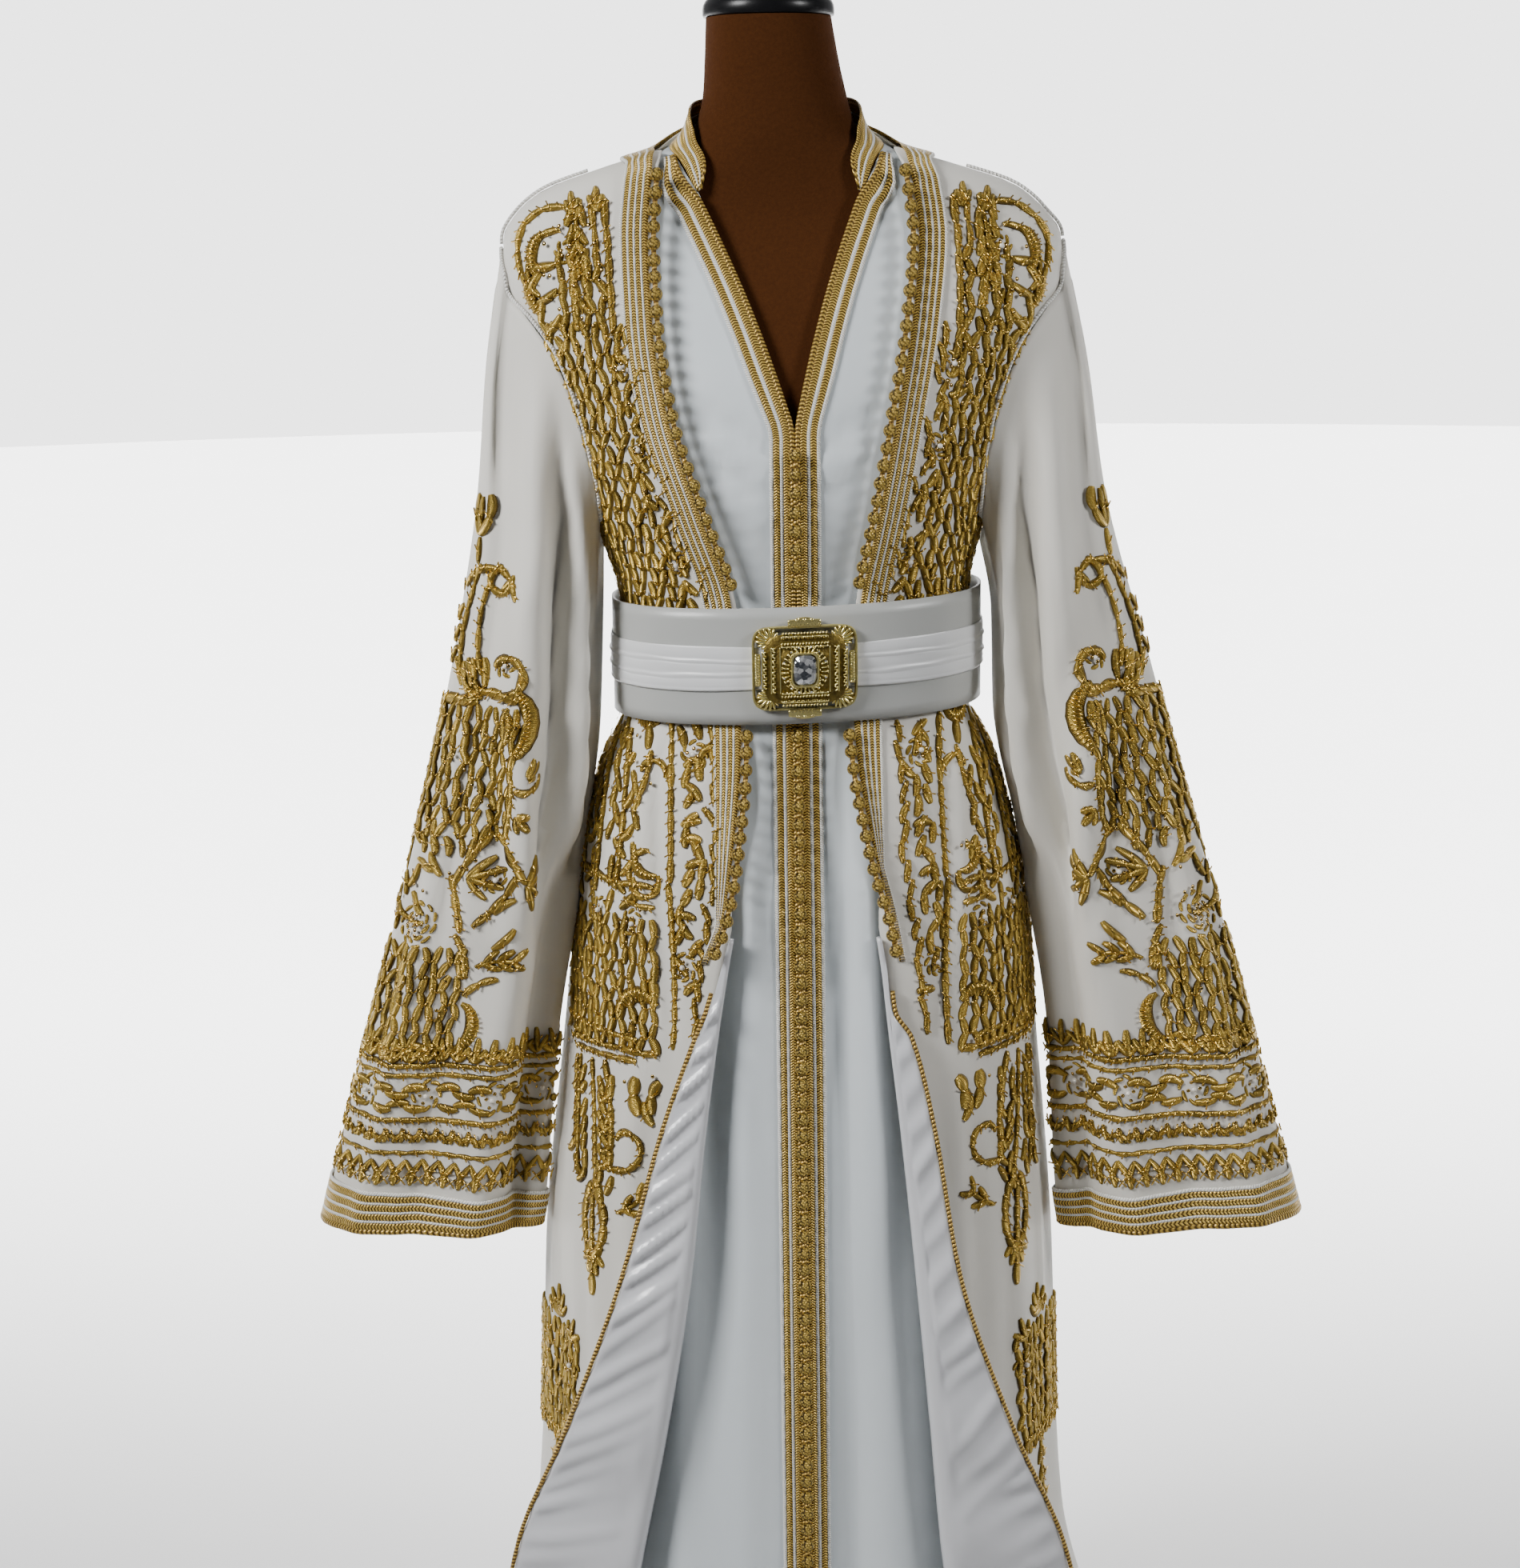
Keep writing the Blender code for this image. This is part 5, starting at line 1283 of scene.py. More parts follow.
def curve_of(a, b, heading, length, bend, curl, count):
    """A curved way on a chart: its points, and its heading in radians at each."""
    t = np.linspace(0, 1, count)
    angle = np.radians(heading + bend * t + curl * t**2)
    steps = np.stack([np.cos(angle), np.sin(angle)], axis=-1)
    path = np.zeros((count, 2))
    path[1:] = np.cumsum((steps[1:] + steps[:-1]) / 2, axis=0) * length / (count - 1)
    return path + (a, b), angle


class Goldwork:
    """One area of goldwork: its strokes, beads, sequins and pearls, all in cloth coordinates."""

    def __init__(self, name, chart, seed):
        self.name, self.chart = name, chart
        self.chance = np.random.default_rng(seed)
        self.strokes, self.beads, self.sequins, self.pearls = [], [], [], []

    def bead(self, a, b, heading, length):
        self.beads.append((a, b, math.radians(heading), length))

    def draw(self, start, rows):
        """Rows of stitches, each its kind and that kind's values in order, with a counted from the start."""
        for kind, a, *values in rows:
            getattr(self, kind)(start + a, *values)

    def stroke(self, a, b, heading, length, bend=0, width=0.0062, curl=0, beads=None):
        """A curved stroke, as one padded stitch or, if it is long, as a chain of them."""
        count = max(int(round(length / 0.018)), 1)
        path, angle = curve_of(a, b, heading, length, bend, curl, 8 * count + 1)
        swell = np.sin(np.pi * np.linspace(0.07, 0.93, 9)) ** 0.45
        for k in range(count):
            piece = path[max(8 * k - 1, 0):8 * k + 9]
            where = np.linspace(0, len(piece) - 1, 9)
            piece = np.stack([np.interp(where, range(len(piece)), column) for column in piece.T], axis=-1)
            wide = width * self.chance.uniform(0.88, 1.08) * swell
            self.strokes.append((piece, wide, self.chance.uniform(0, 1)))
        across = int(length / 0.008) if beads is None else beads
        for part in (np.arange(across) + 0.5) / max(across, 1):
            i = int(part * 8 * count)
            lean = math.degrees(angle[i]) + self.chance.uniform(32, 62)
            self.bead(*(path[i] + self.chance.normal(0, 0.0003, 2)), lean, width * 1.15 + 0.001)

    def leaf(self, a, b, heading, length, bend=0, width=0.0082):
        self.stroke(a, b, heading, length, bend, width, beads=1)

    def tuft(self, a, b, heading, length, count=3, spread=34):
        """Leaves that open from one foot."""
        for k in np.linspace(-1, 1, count):
            size = length * (1 - 0.25 * abs(k))
            self.leaf(a, b, heading + spread * k, size, bend=-18 * k, width=0.0074)

    def spray(self, a, b, heading, length, bend=0, pairs=3):
        """A stem with leaves to both sides."""
        self.stroke(a, b, heading, length, bend, width=0.005)
        for k in range(pairs):
            part = (k + 0.6) / pairs
            here = heading + bend * part
            x = a + length * part * math.cos(math.radians(heading + bend * part / 2))
            y = b + length * part * math.sin(math.radians(heading + bend * part / 2))
            for turn in (-42, 42):
                self.leaf(x, y, here + turn, 0.015, bend=-0.5 * turn, width=0.0068)

    def fan(self, a, b, heading, radius, sweep=150, width=0.0115):
        """A broad crescent with beads laid across it like ribs."""
        length = radius * math.radians(abs(sweep))
        path, angle = curve_of(a, b, heading, length, sweep, 0, 9)
        self.strokes.append((path, width * np.sin(np.pi * np.linspace(0.08, 0.92, 9)) ** 0.8, 0.35))
        for part in np.linspace(0.12, 0.88, max(int(length / 0.004), 3)):
            i = part * 8
            x, y = (np.interp(i, range(9), c) for c in path.T)
            across = math.degrees(np.interp(i, range(9), angle)) + 90
            self.bead(x, y, across, width * 0.85 * math.sin(math.pi * part))
        self.stroke(*path[0], heading, length, sweep, width=0.003, beads=0)

    def flower(self, a, b, radius=0.0062, petals=7):
        """A pearl in a ring of small stitches, with sequins between."""
        self.pearls.append((a, b))
        for k in range(petals):
            angle = 360 * k / petals + 12
            x, y = a + radius * math.cos(math.radians(angle)), b + radius * math.sin(math.radians(angle))
            self.stroke(x, y, angle + 70, 0.0075, bend=40, width=0.0038, beads=0)
            if k % 2 == 0:
                self.sequins.append((x * 0.55 + a * 0.45, y * 0.55 + b * 0.45))

    def net(self, edges, low, high, pitch=0.0092, step=0.0112):
        """Short slanted strokes that meet in a net, with a bead at each meeting."""
        for row, b in enumerate(np.arange(high, low, -step)):
            left, right = edges(b)
            count = max(int(round((right - left) / pitch)), 1)
            for k in range(count + 1):
                a = blend(left, right, k / count) + self.chance.normal(0, 0.0005)
                lean = 1 if (k + row) % 2 else -1
                turn = -90 + 27 * lean + self.chance.normal(0, 7)
                width = self.chance.uniform(0.0066, 0.0086)
                self.stroke(a - 0.0021 * lean, b + 0.001, turn, step * 1.28, -24 * lean, width, beads=0)
                turn = 90 + 48 * lean + self.chance.normal(0, 8)
                self.bead(a + 0.002 * lean, b - step * 0.86, turn, 0.0068)
                if self.chance.uniform() < 0.07:
                    self.sequins.append((a + 0.004, b - 0.004))

    def sew(self):
        """Makes the area's four meshes."""
        path, wide, shade = (np.array(column) for column in zip(*self.strokes))
        count = len(path)
        shape = bmesh.new()
        bmesh.ops.create_grid(shape, x_segments=6, y_segments=10, size=0.5)
        ring = np.array([round((corner.co.x + 0.5) * 6) % 6 for corner in shape.verts])
        station = np.array([round((corner.co.y + 0.5) * 10) - 1 for corner in shape.verts])
        closing = (station < 0) | (station > 8)
        station = np.clip(station, 0, 8)
        flat = path.reshape(-1, 2)
        here = self.chart(flat[:, 0], flat[:, 1]).reshape(count, 9, 3)
        above = self.chart(flat[:, 0], flat[:, 1], 0.001).reshape(count, 9, 3)
        out = unit(above - here)
        along = unit(np.gradient(here, axis=1))
        across = unit(np.cross(along, out))
        section = np.array(((1, 0), (0.62, 0.8), (0, 1.06), (-0.62, 0.8), (-1, 0), (0, -0.04)))
        half = 0.5 * wide[:, station] * np.where(closing, 0, 1)
        tall = 0.42 * np.minimum(wide[:, station], 0.0062) * np.where(closing, 0.4, 1)
        x, y = section[ring, 0], np.where(closing, 0.5, section[ring, 1])
        placed = here[:, station] + across[:, station] * (half * x)[..., None]
        placed += out[:, station] * (tall * y)[..., None]
        far = np.zeros((count, 9))
        far[:, 1:] = np.cumsum(np.linalg.norm(np.diff(here, axis=1), axis=-1), axis=1)
        # own: across, along in metres, then a random tone per stroke mixed with painted shade, dark at the
        # stroke's sides and base, light on its top.
        own = np.stack([
            np.broadcast_to(x, half.shape), far[:, station],
            np.clip(shade[:, None] * 0.42 + 0.58 * np.broadcast_to(y, half.shape), 0, 1),
        ], axis=-1)
        axes = np.broadcast_to(np.eye(3), (count, 3, 3))
        piece = copies(self.name + "_strokes", shape, np.zeros((count, 3)), axes, gold_thread, "gold_cord")
        put(piece.data.vertices, "co", placed)
        put(piece.data.attributes["own"].data, "vector", own)
        mend(piece.data, weld=2e-7, tiny=1e-8, outward=True)
        a, b, heading, length = np.array(self.beads).T
        self.lay("beads", bugle(), a, b, heading, (0.00068, 0.00068, length / 2), 0.0026, bright_beads)
        a, b = np.array(self.sequins).T
        self.lay("sequins", flat_disc(), a, b, math.pi / 2, (0.0016,) * 3, 0.0034, sequin_gilt)
        if self.pearls:
            a, b = np.array(self.pearls).T
            self.lay("pearls", ball_small(), a, b, math.pi / 2, (0.0021,) * 3, 0.003, seed_pearl)

    def lay(self, what, template, a, b, heading, half_sizes, height, made):
        """Copies on the cloth, each along its heading, with half sizes across, out and along."""
        here = self.chart(a, b)
        out = unit(self.chart(a, b, 0.001) - here)
        along = unit(self.chart(a + 0.002 * np.cos(heading), b + 0.002 * np.sin(heading)) - here)
        half = np.stack(np.broadcast_arrays(*half_sizes, a)[:3], axis=-1)
        axes = three_axes(along, out, 1) * half[:, None, :]
        copies(f"{self.name}_{what}", template, here + out * height, axes, made, "gold_cord")


def bugle():
    """A short tube bead, one long and one across, along its own Z."""
    shape = bmesh.new()
    bmesh.ops.create_cone(shape, cap_ends=True, segments=6, radius1=1, radius2=1, depth=2)
    return shape


def flat_disc():
    """A cupped sequin that lies across its own Y."""
    shape = bmesh.new()
    bmesh.ops.create_cone(shape, cap_ends=True, segments=10, radius1=1, radius2=0.55, depth=0.28)
    bmesh.ops.rotate(shape, verts=shape.verts, cent=(0, 0, 0), matrix=Matrix.Rotation(-math.pi / 2, 3, "X"))
    return shape


def ball_small():
    shape = bmesh.new()
    bmesh.ops.create_icosphere(shape, subdivisions=2, radius=1)
    return shape


def front_chart(side):
    def place(turn, height, out):
        return robe.point(side * turn, height, out)

    return ClothChart(place, np.linspace(0.1, 1.385, 130), np.linspace(0, 2.7, 140), (0, 0.4))


def chest_inner(height):
    """The inner edge of the chest's goldwork, a little outside the robe's band."""
    return np.interp(height, (1.06, 1.1, 1.15, 1.2, 1.26, 1.33), (0.058, 0.08, 0.093, 0.108, 0.116, 0.124))


def chest_outer(height):
    """Its outer edge, beside the armhole and then round under the arm."""
    return np.interp(height, (1.06, 1.1, 1.15, 1.2, 1.26, 1.3), (0.176, 0.176, 0.174, 0.178, 0.185, 0.196))


for name, side in sides.items():
    work = Goldwork(f"goldwork_chest_{name}", front_chart(side), 21 + side)
    chance = work.chance
    work.net(lambda b: (chest_inner(b) + 0.016, chest_outer(b)), 1.066, 1.27)
    work.net(lambda b: (0.136, 0.166), 1.27, 1.322)
    for height in np.arange(1.068, 1.262, 0.013):
        inner = chest_inner(height)
        work.stroke(inner + 0.001, height, 80 + chance.normal(0, 14), 0.0185, chance.normal(0, 30))
        work.leaf(inner + 0.01, height + 0.005, 56 + chance.normal(0, 25), 0.0155, 34)
    for height in (1.238, 1.18, 1.096):
        work.flower(chest_inner(height) + 0.009, height)
    work.draw(0, (
        ("stroke", 0.127, 1.262, 88, 0.096, 4, 0.0072), ("stroke", 0.137, 1.316, 92, 0.044, -6),
        ("stroke", 0.15, 1.3, 84, 0.058, 20), ("tuft", 0.133, 1.349, 85, 0.017),
        ("tuft", 0.151, 1.346, 80, 0.017),
    ))
    for height in np.arange(1.276, 1.346, 0.0125):
        work.leaf(0.143, height, 62 + chance.normal(0, 12), 0.015, 24)
        work.leaf(0.158, height, 112 + chance.normal(0, 12), 0.015, -24)
    work.draw(0, (
        ("stroke", 0.158, 1.352, 8, 0.098, -128, 0.0074, -34), ("stroke", 0.163, 1.336, 2, 0.06, -118),
        ("fan", 0.174, 1.334, -10, 0.019, -124), ("fan", 0.196, 1.3, -82, 0.026, -62, 0.0125),
    ))
    for height, turn in (
        (1.312, -30), (1.294, -50), (1.276, -66), (1.256, -72), (1.236, -80), (1.216, -84),
    ):
        work.leaf(0.169, height, turn + 10, 0.022, 28)
        work.leaf(0.182, height - 0.006, turn - 8, 0.021, -20)
    work.flower(0.16, 1.32)
    for _ in range(44):
        height = chance.uniform(1.07, 1.34)
        far = chest_outer(min(height, 1.3)) - 0.01
        work.sequins.append((chance.uniform(chest_inner(height) + 0.004, far), height))
    work.sew()

for name, side in sides.items():
    work = Goldwork(f"goldwork_skirt_{name}", front_chart(side), 31 + side)
    chance = work.chance
    shift = 0 if side < 0 else 0.012
    # The column beside the band, which narrows downwards to a point.
    work.draw(shift, (
        ("stroke", 0.1, 0.978, -92, 0.12, 5, 0.0068), ("stroke", 0.103, 0.858, -96, 0.126, 10, 0.0066),
    ))
    for height in np.arange(0.742, 0.972, 0.0145):
        edge = 0.064 + shift + 0.15 * max(0.87 - height, 0)
        work.stroke(edge, height, 86 + chance.normal(0, 9), 0.017, chance.normal(0, 24))
        for lowest, over, rise, turn, sway, long in (
            (0.765, 0.011, 0.004, 66, 30, 0.0165), (0.8, 0.024, -0.002, 112, 24, 0.0155),
        ):
            if height > lowest:
                turn += chance.normal(0, sway)
                work.leaf(edge + over, height + rise, turn, long, chance.normal(0, 30))
    for height in (0.952, 0.796):
        work.flower(0.08 + shift + 0.15 * max(0.87 - height, 0), height, 0.008, 8)
    # The large motif: buds under the belt, tall leaves, curls, a net, and a hanging spade.
    base = 0.114 + shift * 0.8
    work.draw(base, (
        ("fan", -0.006, 0.984, -74, 0.017, 150, 0.0135), ("leaf", 0.004, 0.982, -70, 0.03, -30, 0.01),
        ("stroke", 0.004, 0.952, -84, 0.052, 30, 0.0068), ("stroke", 0.012, 0.936, 100, 0.034, 170),
        ("tuft", 0.04, 0.948, 96, 0.026, 3, 36), ("tuft", 0.066, 0.946, 92, 0.022, 3, 36),
        ("stroke", 0.03, 0.958, -90, 0.108, 10, 0.0068), ("stroke", 0.056, 0.962, -86, 0.122, 2, 0.0068),
        ("stroke", 0.082, 0.94, -78, 0.104, -4, 0.0066),
    ))
    for k, height in enumerate(np.arange(0.846, 0.958, 0.0128)):
        for far, lean in ((0.022, 1), (0.043, -1), (0.068, 1), (0.092, -1)):
            wide = far + 0.1 * (0.95 - height) * (far > 0.05) + chance.normal(0, 0.001)
            turn = (-64 if (k + (far > 0.05)) % 2 == 0 else -116) + chance.normal(0, 9)
            work.leaf(base + wide, height, turn, 0.018, 20 * lean)
    for height in np.arange(0.836, 0.93, 0.0145):
        far = base + 0.102 + 0.14 * (0.93 - height)
        work.leaf(far, height, -76 + chance.normal(0, 12), 0.018, 14)
    work.draw(base, (
        ("stroke", 0.006, 0.88, -6, 0.078, -170, 0.007, -120), ("fan", 0, 0.862, -20, 0.015, 140, 0.01),
        ("stroke", 0.002, 0.852, 16, 0.042, -44, 0.0066), ("stroke", 0.036, 0.85, 12, 0.08, -22, 0.0072),
        ("stroke", 0.002, 0.838, -4, 0.03, 24), ("flower", 0.022, 0.824, 0.0082, 8),
        ("flower", 0.058, 0.828, 0.0074),
    ))
    work.net(lambda b: (base + 0.003, base + 0.112 - 0.12 * (0.83 - b)), 0.728, 0.828)
    work.fan(base, 0.764, 52, 0.019, -150, 0.014)
    for k in range(3):
        work.stroke(base + 0.016, 0.736 - 0.008 * k, 2 + chance.normal(0, 3), 0.09 - 0.008 * k, -8)
    work.draw(base, (
        ("stroke", -0.002, 0.728, -14, 0.034, 34, 0.007), ("leaf", -0.004, 0.706, -40, 0.028, -70, 0.0115),
        ("leaf", 0.016, 0.708, -70, 0.03, -50, 0.0115), ("leaf", 0.002, 0.672, 40, 0.02, 60, 0.009),
        ("stroke", 0.046, 0.716, -104, 0.086, 22, 0.007), ("stroke", 0.062, 0.714, -92, 0.104, -6, 0.0066),
        ("stroke", 0.08, 0.712, -84, 0.094, -12, 0.0066),
    ))
    for height in np.arange(0.628, 0.716, 0.013):
        for far, rise, turn in (
            (0.038, 0, -66), (0.053, -0.004, -110), (0.071, 0, -72), (0.087, 0.004, -98),
        ):
            turn += chance.normal(0, 14)
            work.leaf(base + far, height + rise, turn, 0.017, chance.normal(0, 26))
    work.draw(base, (
        ("stroke", 0.04, 0.634, 190, 0.072, -100, 0.0066, -170), ("spray", 0.034, 0.6, 160, 0.03, -30, 2),
        ("stroke", 0.056, 0.618, -128, 0.066, 80, 0.01), ("stroke", 0.06, 0.618, -52, 0.066, -80, 0.01),
        ("stroke", 0.058, 0.612, -90, 0.05, 0, 0.0072), ("leaf", 0.058, 0.562, -90, 0.032, 0, 0.0085),
        ("tuft", 0.058, 0.564, -90, 0.02, 4, 62),
    ))
    # The low motif beside the edge cord.
    low_base = 0.222 - shift
    work.draw(low_base, (
        ("tuft", 0.006, 0.492, 88, 0.026, 5, 60), ("tuft", -0.018, 0.482, 110, 0.02, 3, 50),
    ))
    work.net(lambda b: (low_base - 0.028 + 0.1 * (0.49 - b), low_base + 0.06), 0.39, 0.488)
    work.draw(low_base, (
        ("flower", -0.02, 0.462, 0.008, 8), ("stroke", -0.02, 0.398, -10, 0.08, 20, 0.0072),
        ("spray", 0.014, 0.39, -88, 0.07, 8, 4),
    ))
    for _ in range(70):
        work.sequins.append((base + chance.uniform(0, 0.1), chance.uniform(0.7, 0.965)))
    work.sew()


def ring_heights(name, turns, lengths):
    """Heights above the floor on the sleeve: a row for each length down it, a column for each turn."""
    downs = np.asarray(lengths) / sleeve_length
    return np.array([sleeves[name].point(turns, np.full(len(turns), down))[:, 2] for down in downs])


def sleeve_chart(name):
    """Round the sleeve, at a height above the floor."""
    turns, lengths = np.linspace(-2.2, 3.3, 111), np.linspace(0.04, sleeve_length, 75)
    heights = np.linspace(0.6, 1.24, 81)
    rings = ring_heights(name, turns, lengths)
    down = np.array([np.interp(heights, ring[::-1], lengths[::-1]) for ring in rings.T]).T

    def place(turn, height, out):
        row = (height - heights[0]) / (heights[1] - heights[0])
        column = (turn - turns[0]) / (turns[1] - turns[0])
        return sleeves[name].point(turn, lookup(down, row, column) / sleeve_length, out)

    return ClothChart(place, heights, turns, (-0.14, 0.3))


def cuff_chart(name):
    """Round the sleeve above its cuff band: b runs from a level line down to the band, in metres."""
    turns, lengths = np.linspace(-3.4, 4.2, 153), np.linspace(0.45, sleeve_length, 45)
    level = np.array([np.interp(-0.722, -ring, lengths) for ring in ring_heights(name, turns, lengths).T])

    def place(turn, b, out):
        length = blend(np.interp(turn, turns, level), 0.733, b / 0.108)
        return sleeves[name].point(turn, length / sleeve_length, out)

    return ClothChart(place, np.linspace(0, 0.115, 24), np.linspace(-3.3, 4.1, 200), (-0.17, 0.24))


for name, side in sides.items():
    work = Goldwork(f"goldwork_sleeve_{name}", sleeve_chart(name), 41 + side)
    chance = work.chance
    work.draw(0, (
        ("leaf", 0.03, 1.114, 42, 0.032, 76, 0.01), ("leaf", 0.03, 1.114, 138, 0.032, -76, 0.01),
        ("leaf", 0.03, 1.116, 92, 0.026, 0, 0.008), ("leaf", 0.03, 1.112, -88, 0.02, 0, 0.008),
        ("stroke", 0.018, 1.074, 62, 0.072, -140, 0.0076),
        ("stroke", 0.068, 1.086, -84, 0.054, -200, 0.0076, -80), ("leaf", 0.056, 1.074, 20, 0.015, 40),
        ("stroke", 0.036, 1.092, -118, 0.092, 44, 0.0074), ("stroke", 0.044, 1.078, -104, 0.07, 34, 0.0058),
    ))
    for height in (1.06, 1.044, 1.028):
        work.leaf(0.018, height, -140, 0.015, 50)
    work.draw(0, (
        ("stroke", 0.028, 1.018, -70, 0.036, 30, 0.008), ("stroke", 0.04, 1.022, -84, 0.034, 26, 0.0076),
        ("stroke", 0.06, 1.016, 60, 0.064, -250, 0.0088), ("flower", 0.07, 1.018, 0.0056, 6),
    ))
    for a in (0.03, 0.042, 0.052):
        work.leaf(a, 1, 100 - 900 * (a - 0.041), 0.023, 20, 0.0088)
    work.draw(0, (
        ("stroke", -0.004, 0.984, 18, 0.054, -26, 0.01), ("stroke", 0.086, 0.992, 164, 0.048, 22, 0.01),
        ("fan", 0.078, 1, -14, 0.03, -130, 0.015), ("fan", 0.074, 0.986, -24, 0.018, -110, 0.008),
    ))
    work.net(lambda b: (-0.03, 0.088 + 0.1 * (0.98 - b)), 0.892, 0.986)
    work.draw(0, (
        ("stroke", 0.094, 0.934, -78, 0.048, -18, 0.0072), ("stroke", 0.098, 0.926, -20, 0.036, 70, 0.0072),
        ("tuft", 0.108, 0.936, 30, 0.018, 3, 50), ("tuft", 0.106, 0.906, -40, 0.018, 3, 44),
    ))
    for a in np.arange(-0.03, 0.078, 0.0125):
        work.leaf(a, 0.886, -42 + chance.normal(0, 18), 0.0165, -50)
    # The lozenge with sprays of leaves.
    work.draw(0, (
        ("stroke", 0.084, 0.892, -128, 0.05, 20, 0.0082), ("stroke", 0.056, 0.856, -56, 0.048, -14, 0.0082),
        ("stroke", 0.086, 0.892, -38, 0.052, -20, 0.0076), ("stroke", 0.086, 0.818, 42, 0.05, 30, 0.0076),
        ("tuft", 0.072, 0.856, 0, 0.034, 4, 50), ("tuft", 0.122, 0.852, -2, 0.034, 5, 70),
        ("leaf", 0.1, 0.878, -60, 0.02, 40), ("leaf", 0.1, 0.828, 60, 0.02, -40),
        ("flower", 0.094, 0.855, 0.007, 8),
    ))
    for a, b, turn in (
        (0, 0.872, -120), (0.022, 0.866, -30), (0, 0.842, -80), (0.024, 0.84, -50), (0.036, 0.874, -70),
    ):
        work.leaf(a, b, turn, 0.023, 30)
        work.leaf(a - 0.012, b - 0.012, turn - 20, 0.019, -30)
    for k in range(10):
        work.leaf(-0.034 + 0.0016 * k, 0.882 - 0.0105 * k, -84 + chance.normal(0, 10), 0.015, 10)
    work.draw(0, (
        ("flower", 0.038, 0.817, 0.0105, 9), ("flower", 0.038, 0.817, 0.0165, 12),
        ("stroke", 0.01, 0.83, -50, 0.04, 70),
    ))
    work.net(lambda b: (-0.03, 0.084 + 0.06 * (0.8 - b)), 0.724, 0.8)
    work.draw(0, (
        ("stroke", 0.074, 0.812, -46, 0.04, -40, 0.0072), ("spray", 0.096, 0.786, 24, 0.034, -30),
        ("leaf", 0.106, 0.8, 30, 0.023, 40, 0.009), ("fan", 0.092, 0.756, -18, 0.02, -140, 0.013),
        ("stroke", 0.092, 0.762, 60, 0.03, -60),
    ))
    for a in np.arange(-0.03, 0.076, 0.0125):
        work.leaf(a, 0.724, -20 + chance.normal(0, 14), 0.0165, -20)
    for _ in range(60):
        work.sequins.append((chance.uniform(-0.02, 0.1), chance.uniform(0.73, 0.98)))
    work.sew()

for name, side in sides.items():
    # Rows all round above the cuff, b downwards: tufts, a double line, waves of leaves, arches, a zigzag.
    work = Goldwork(f"goldwork_cuff_{name}", cuff_chart(name), 51 + side)
    chance = work.chance
    for k, a in enumerate(np.linspace(-0.15, 0.218, 29)[:-1]):
        work.tuft(a, 0.01, -90 + chance.normal(0, 8), 0.016, 3, 50)
        work.draw(a, (
            ("stroke", 0, 0.0125, 2, 0.016, 0, 0.0054, 0, 2),
            ("stroke", 0.003, 0.0195, -2, 0.0155, 0, 0.005, 0, 1),
        ))
        if k % 4 == 1:
            work.flower(a + 0.006, 0.033, 0.0085, 8)
        else:
            rise = 30 if k % 2 else -30
            work.leaf(a, 0.03, rise, 0.019, -1.6 * rise)
            work.leaf(a + 0.003, 0.04, -rise * 0.8, 0.0175, 1.2 * rise, 0.0076)
        work.sequins.append((a + 0.0065, 0.056))
        work.draw(a, (
            ("stroke", 0, 0.05, 3, 0.0155, -8, 0.0054, 0, 2),
            ("stroke", 0, 0.066, -60, 0.021, 120, 0.006, 0, 1), ("leaf", 0.0066, 0.056, 90, 0.01, 0, 0.006),
            ("bead", 0, 0.06, 60, 0.009), ("bead", 0.0065, 0.06, 120, 0.009),
            ("stroke", 0, 0.0735, 2, 0.015, 0, 0.0048, 0, 1),
            ("stroke", 0, 0.079, 56, 0.018, 0, 0.0062, 0, 1),
            ("stroke", 0.0138, 0.079, 124, 0.018, 0, 0.0062, 0, 1),
            ("leaf", 0.0069, 0.085, 90, 0.013, 0, 0.0064), ("bead", 0, 0.093, 45, 0.01),
            ("bead", 0, 0.093, 135, 0.01),
        ))
    work.sew()


# Belt: a stiff band covered in grey-white satin, closed round the waist over robe and dress, with a strip of
# three narrow pleats sewn along its middle.
belt_height = 0.087
belt_middle = 1.0215
belt_thickness = 0.0022
belt_lean = math.tan(math.radians(1.5))
pleat_height = 0.034
pleat_rise = 0.0017
belt = Layer(((0.9, 0.008, 0.1393, 0.0993, 0.0998), (1.14, 0.008, 0.1393, 0.0993, 0.0998)))


def belt_point(turn, up, out):
    """On the belt at a height above its own middle, with its small tilt up to the right."""
    spot = belt.point(turn, belt_middle + up, out)
    spot[..., 2] += belt_lean * (spot[..., 0] - 0.008)
    return spot


def band_place(u, v):
    waver = 0.00025 * np.sin(11 * 2 * np.pi * u + 3 * v) * np.sin(4 * 2 * np.pi * u)
    return belt_point(2 * np.pi * u, belt_height * (v - 0.5), 0.0008 + waver)


def pleat_place(u, v):
    """Each pleat stands up at its lower edge and tucks in under the next. They draw together in front."""
    part = (v * 3) % 1
    fold = np.where(v < 0.999, 1 - ease(part / 0.18), 0) * ease(v / 0.02) + 0.35 * np.sin(np.pi * part)
    turn = 2 * np.pi * u
    wander = 0.0007 * np.sin(5 * turn + 9 * v) + 0.0004 * np.sin(17 * turn + 14 * v)
    pulled = np.exp(-(((u + 0.5) % 1 - 0.5) / 0.055) ** 2)
    up = pleat_height * (v - 0.5) * (1 - 0.1 * pulled) - 0.001 + wander * np.sin(np.pi * v)
    rise = pleat_rise * fold * (1 - 0.3 * pulled)
    return belt_point(turn, up, 0.0031 + belt_thickness * 0.1 + rise)


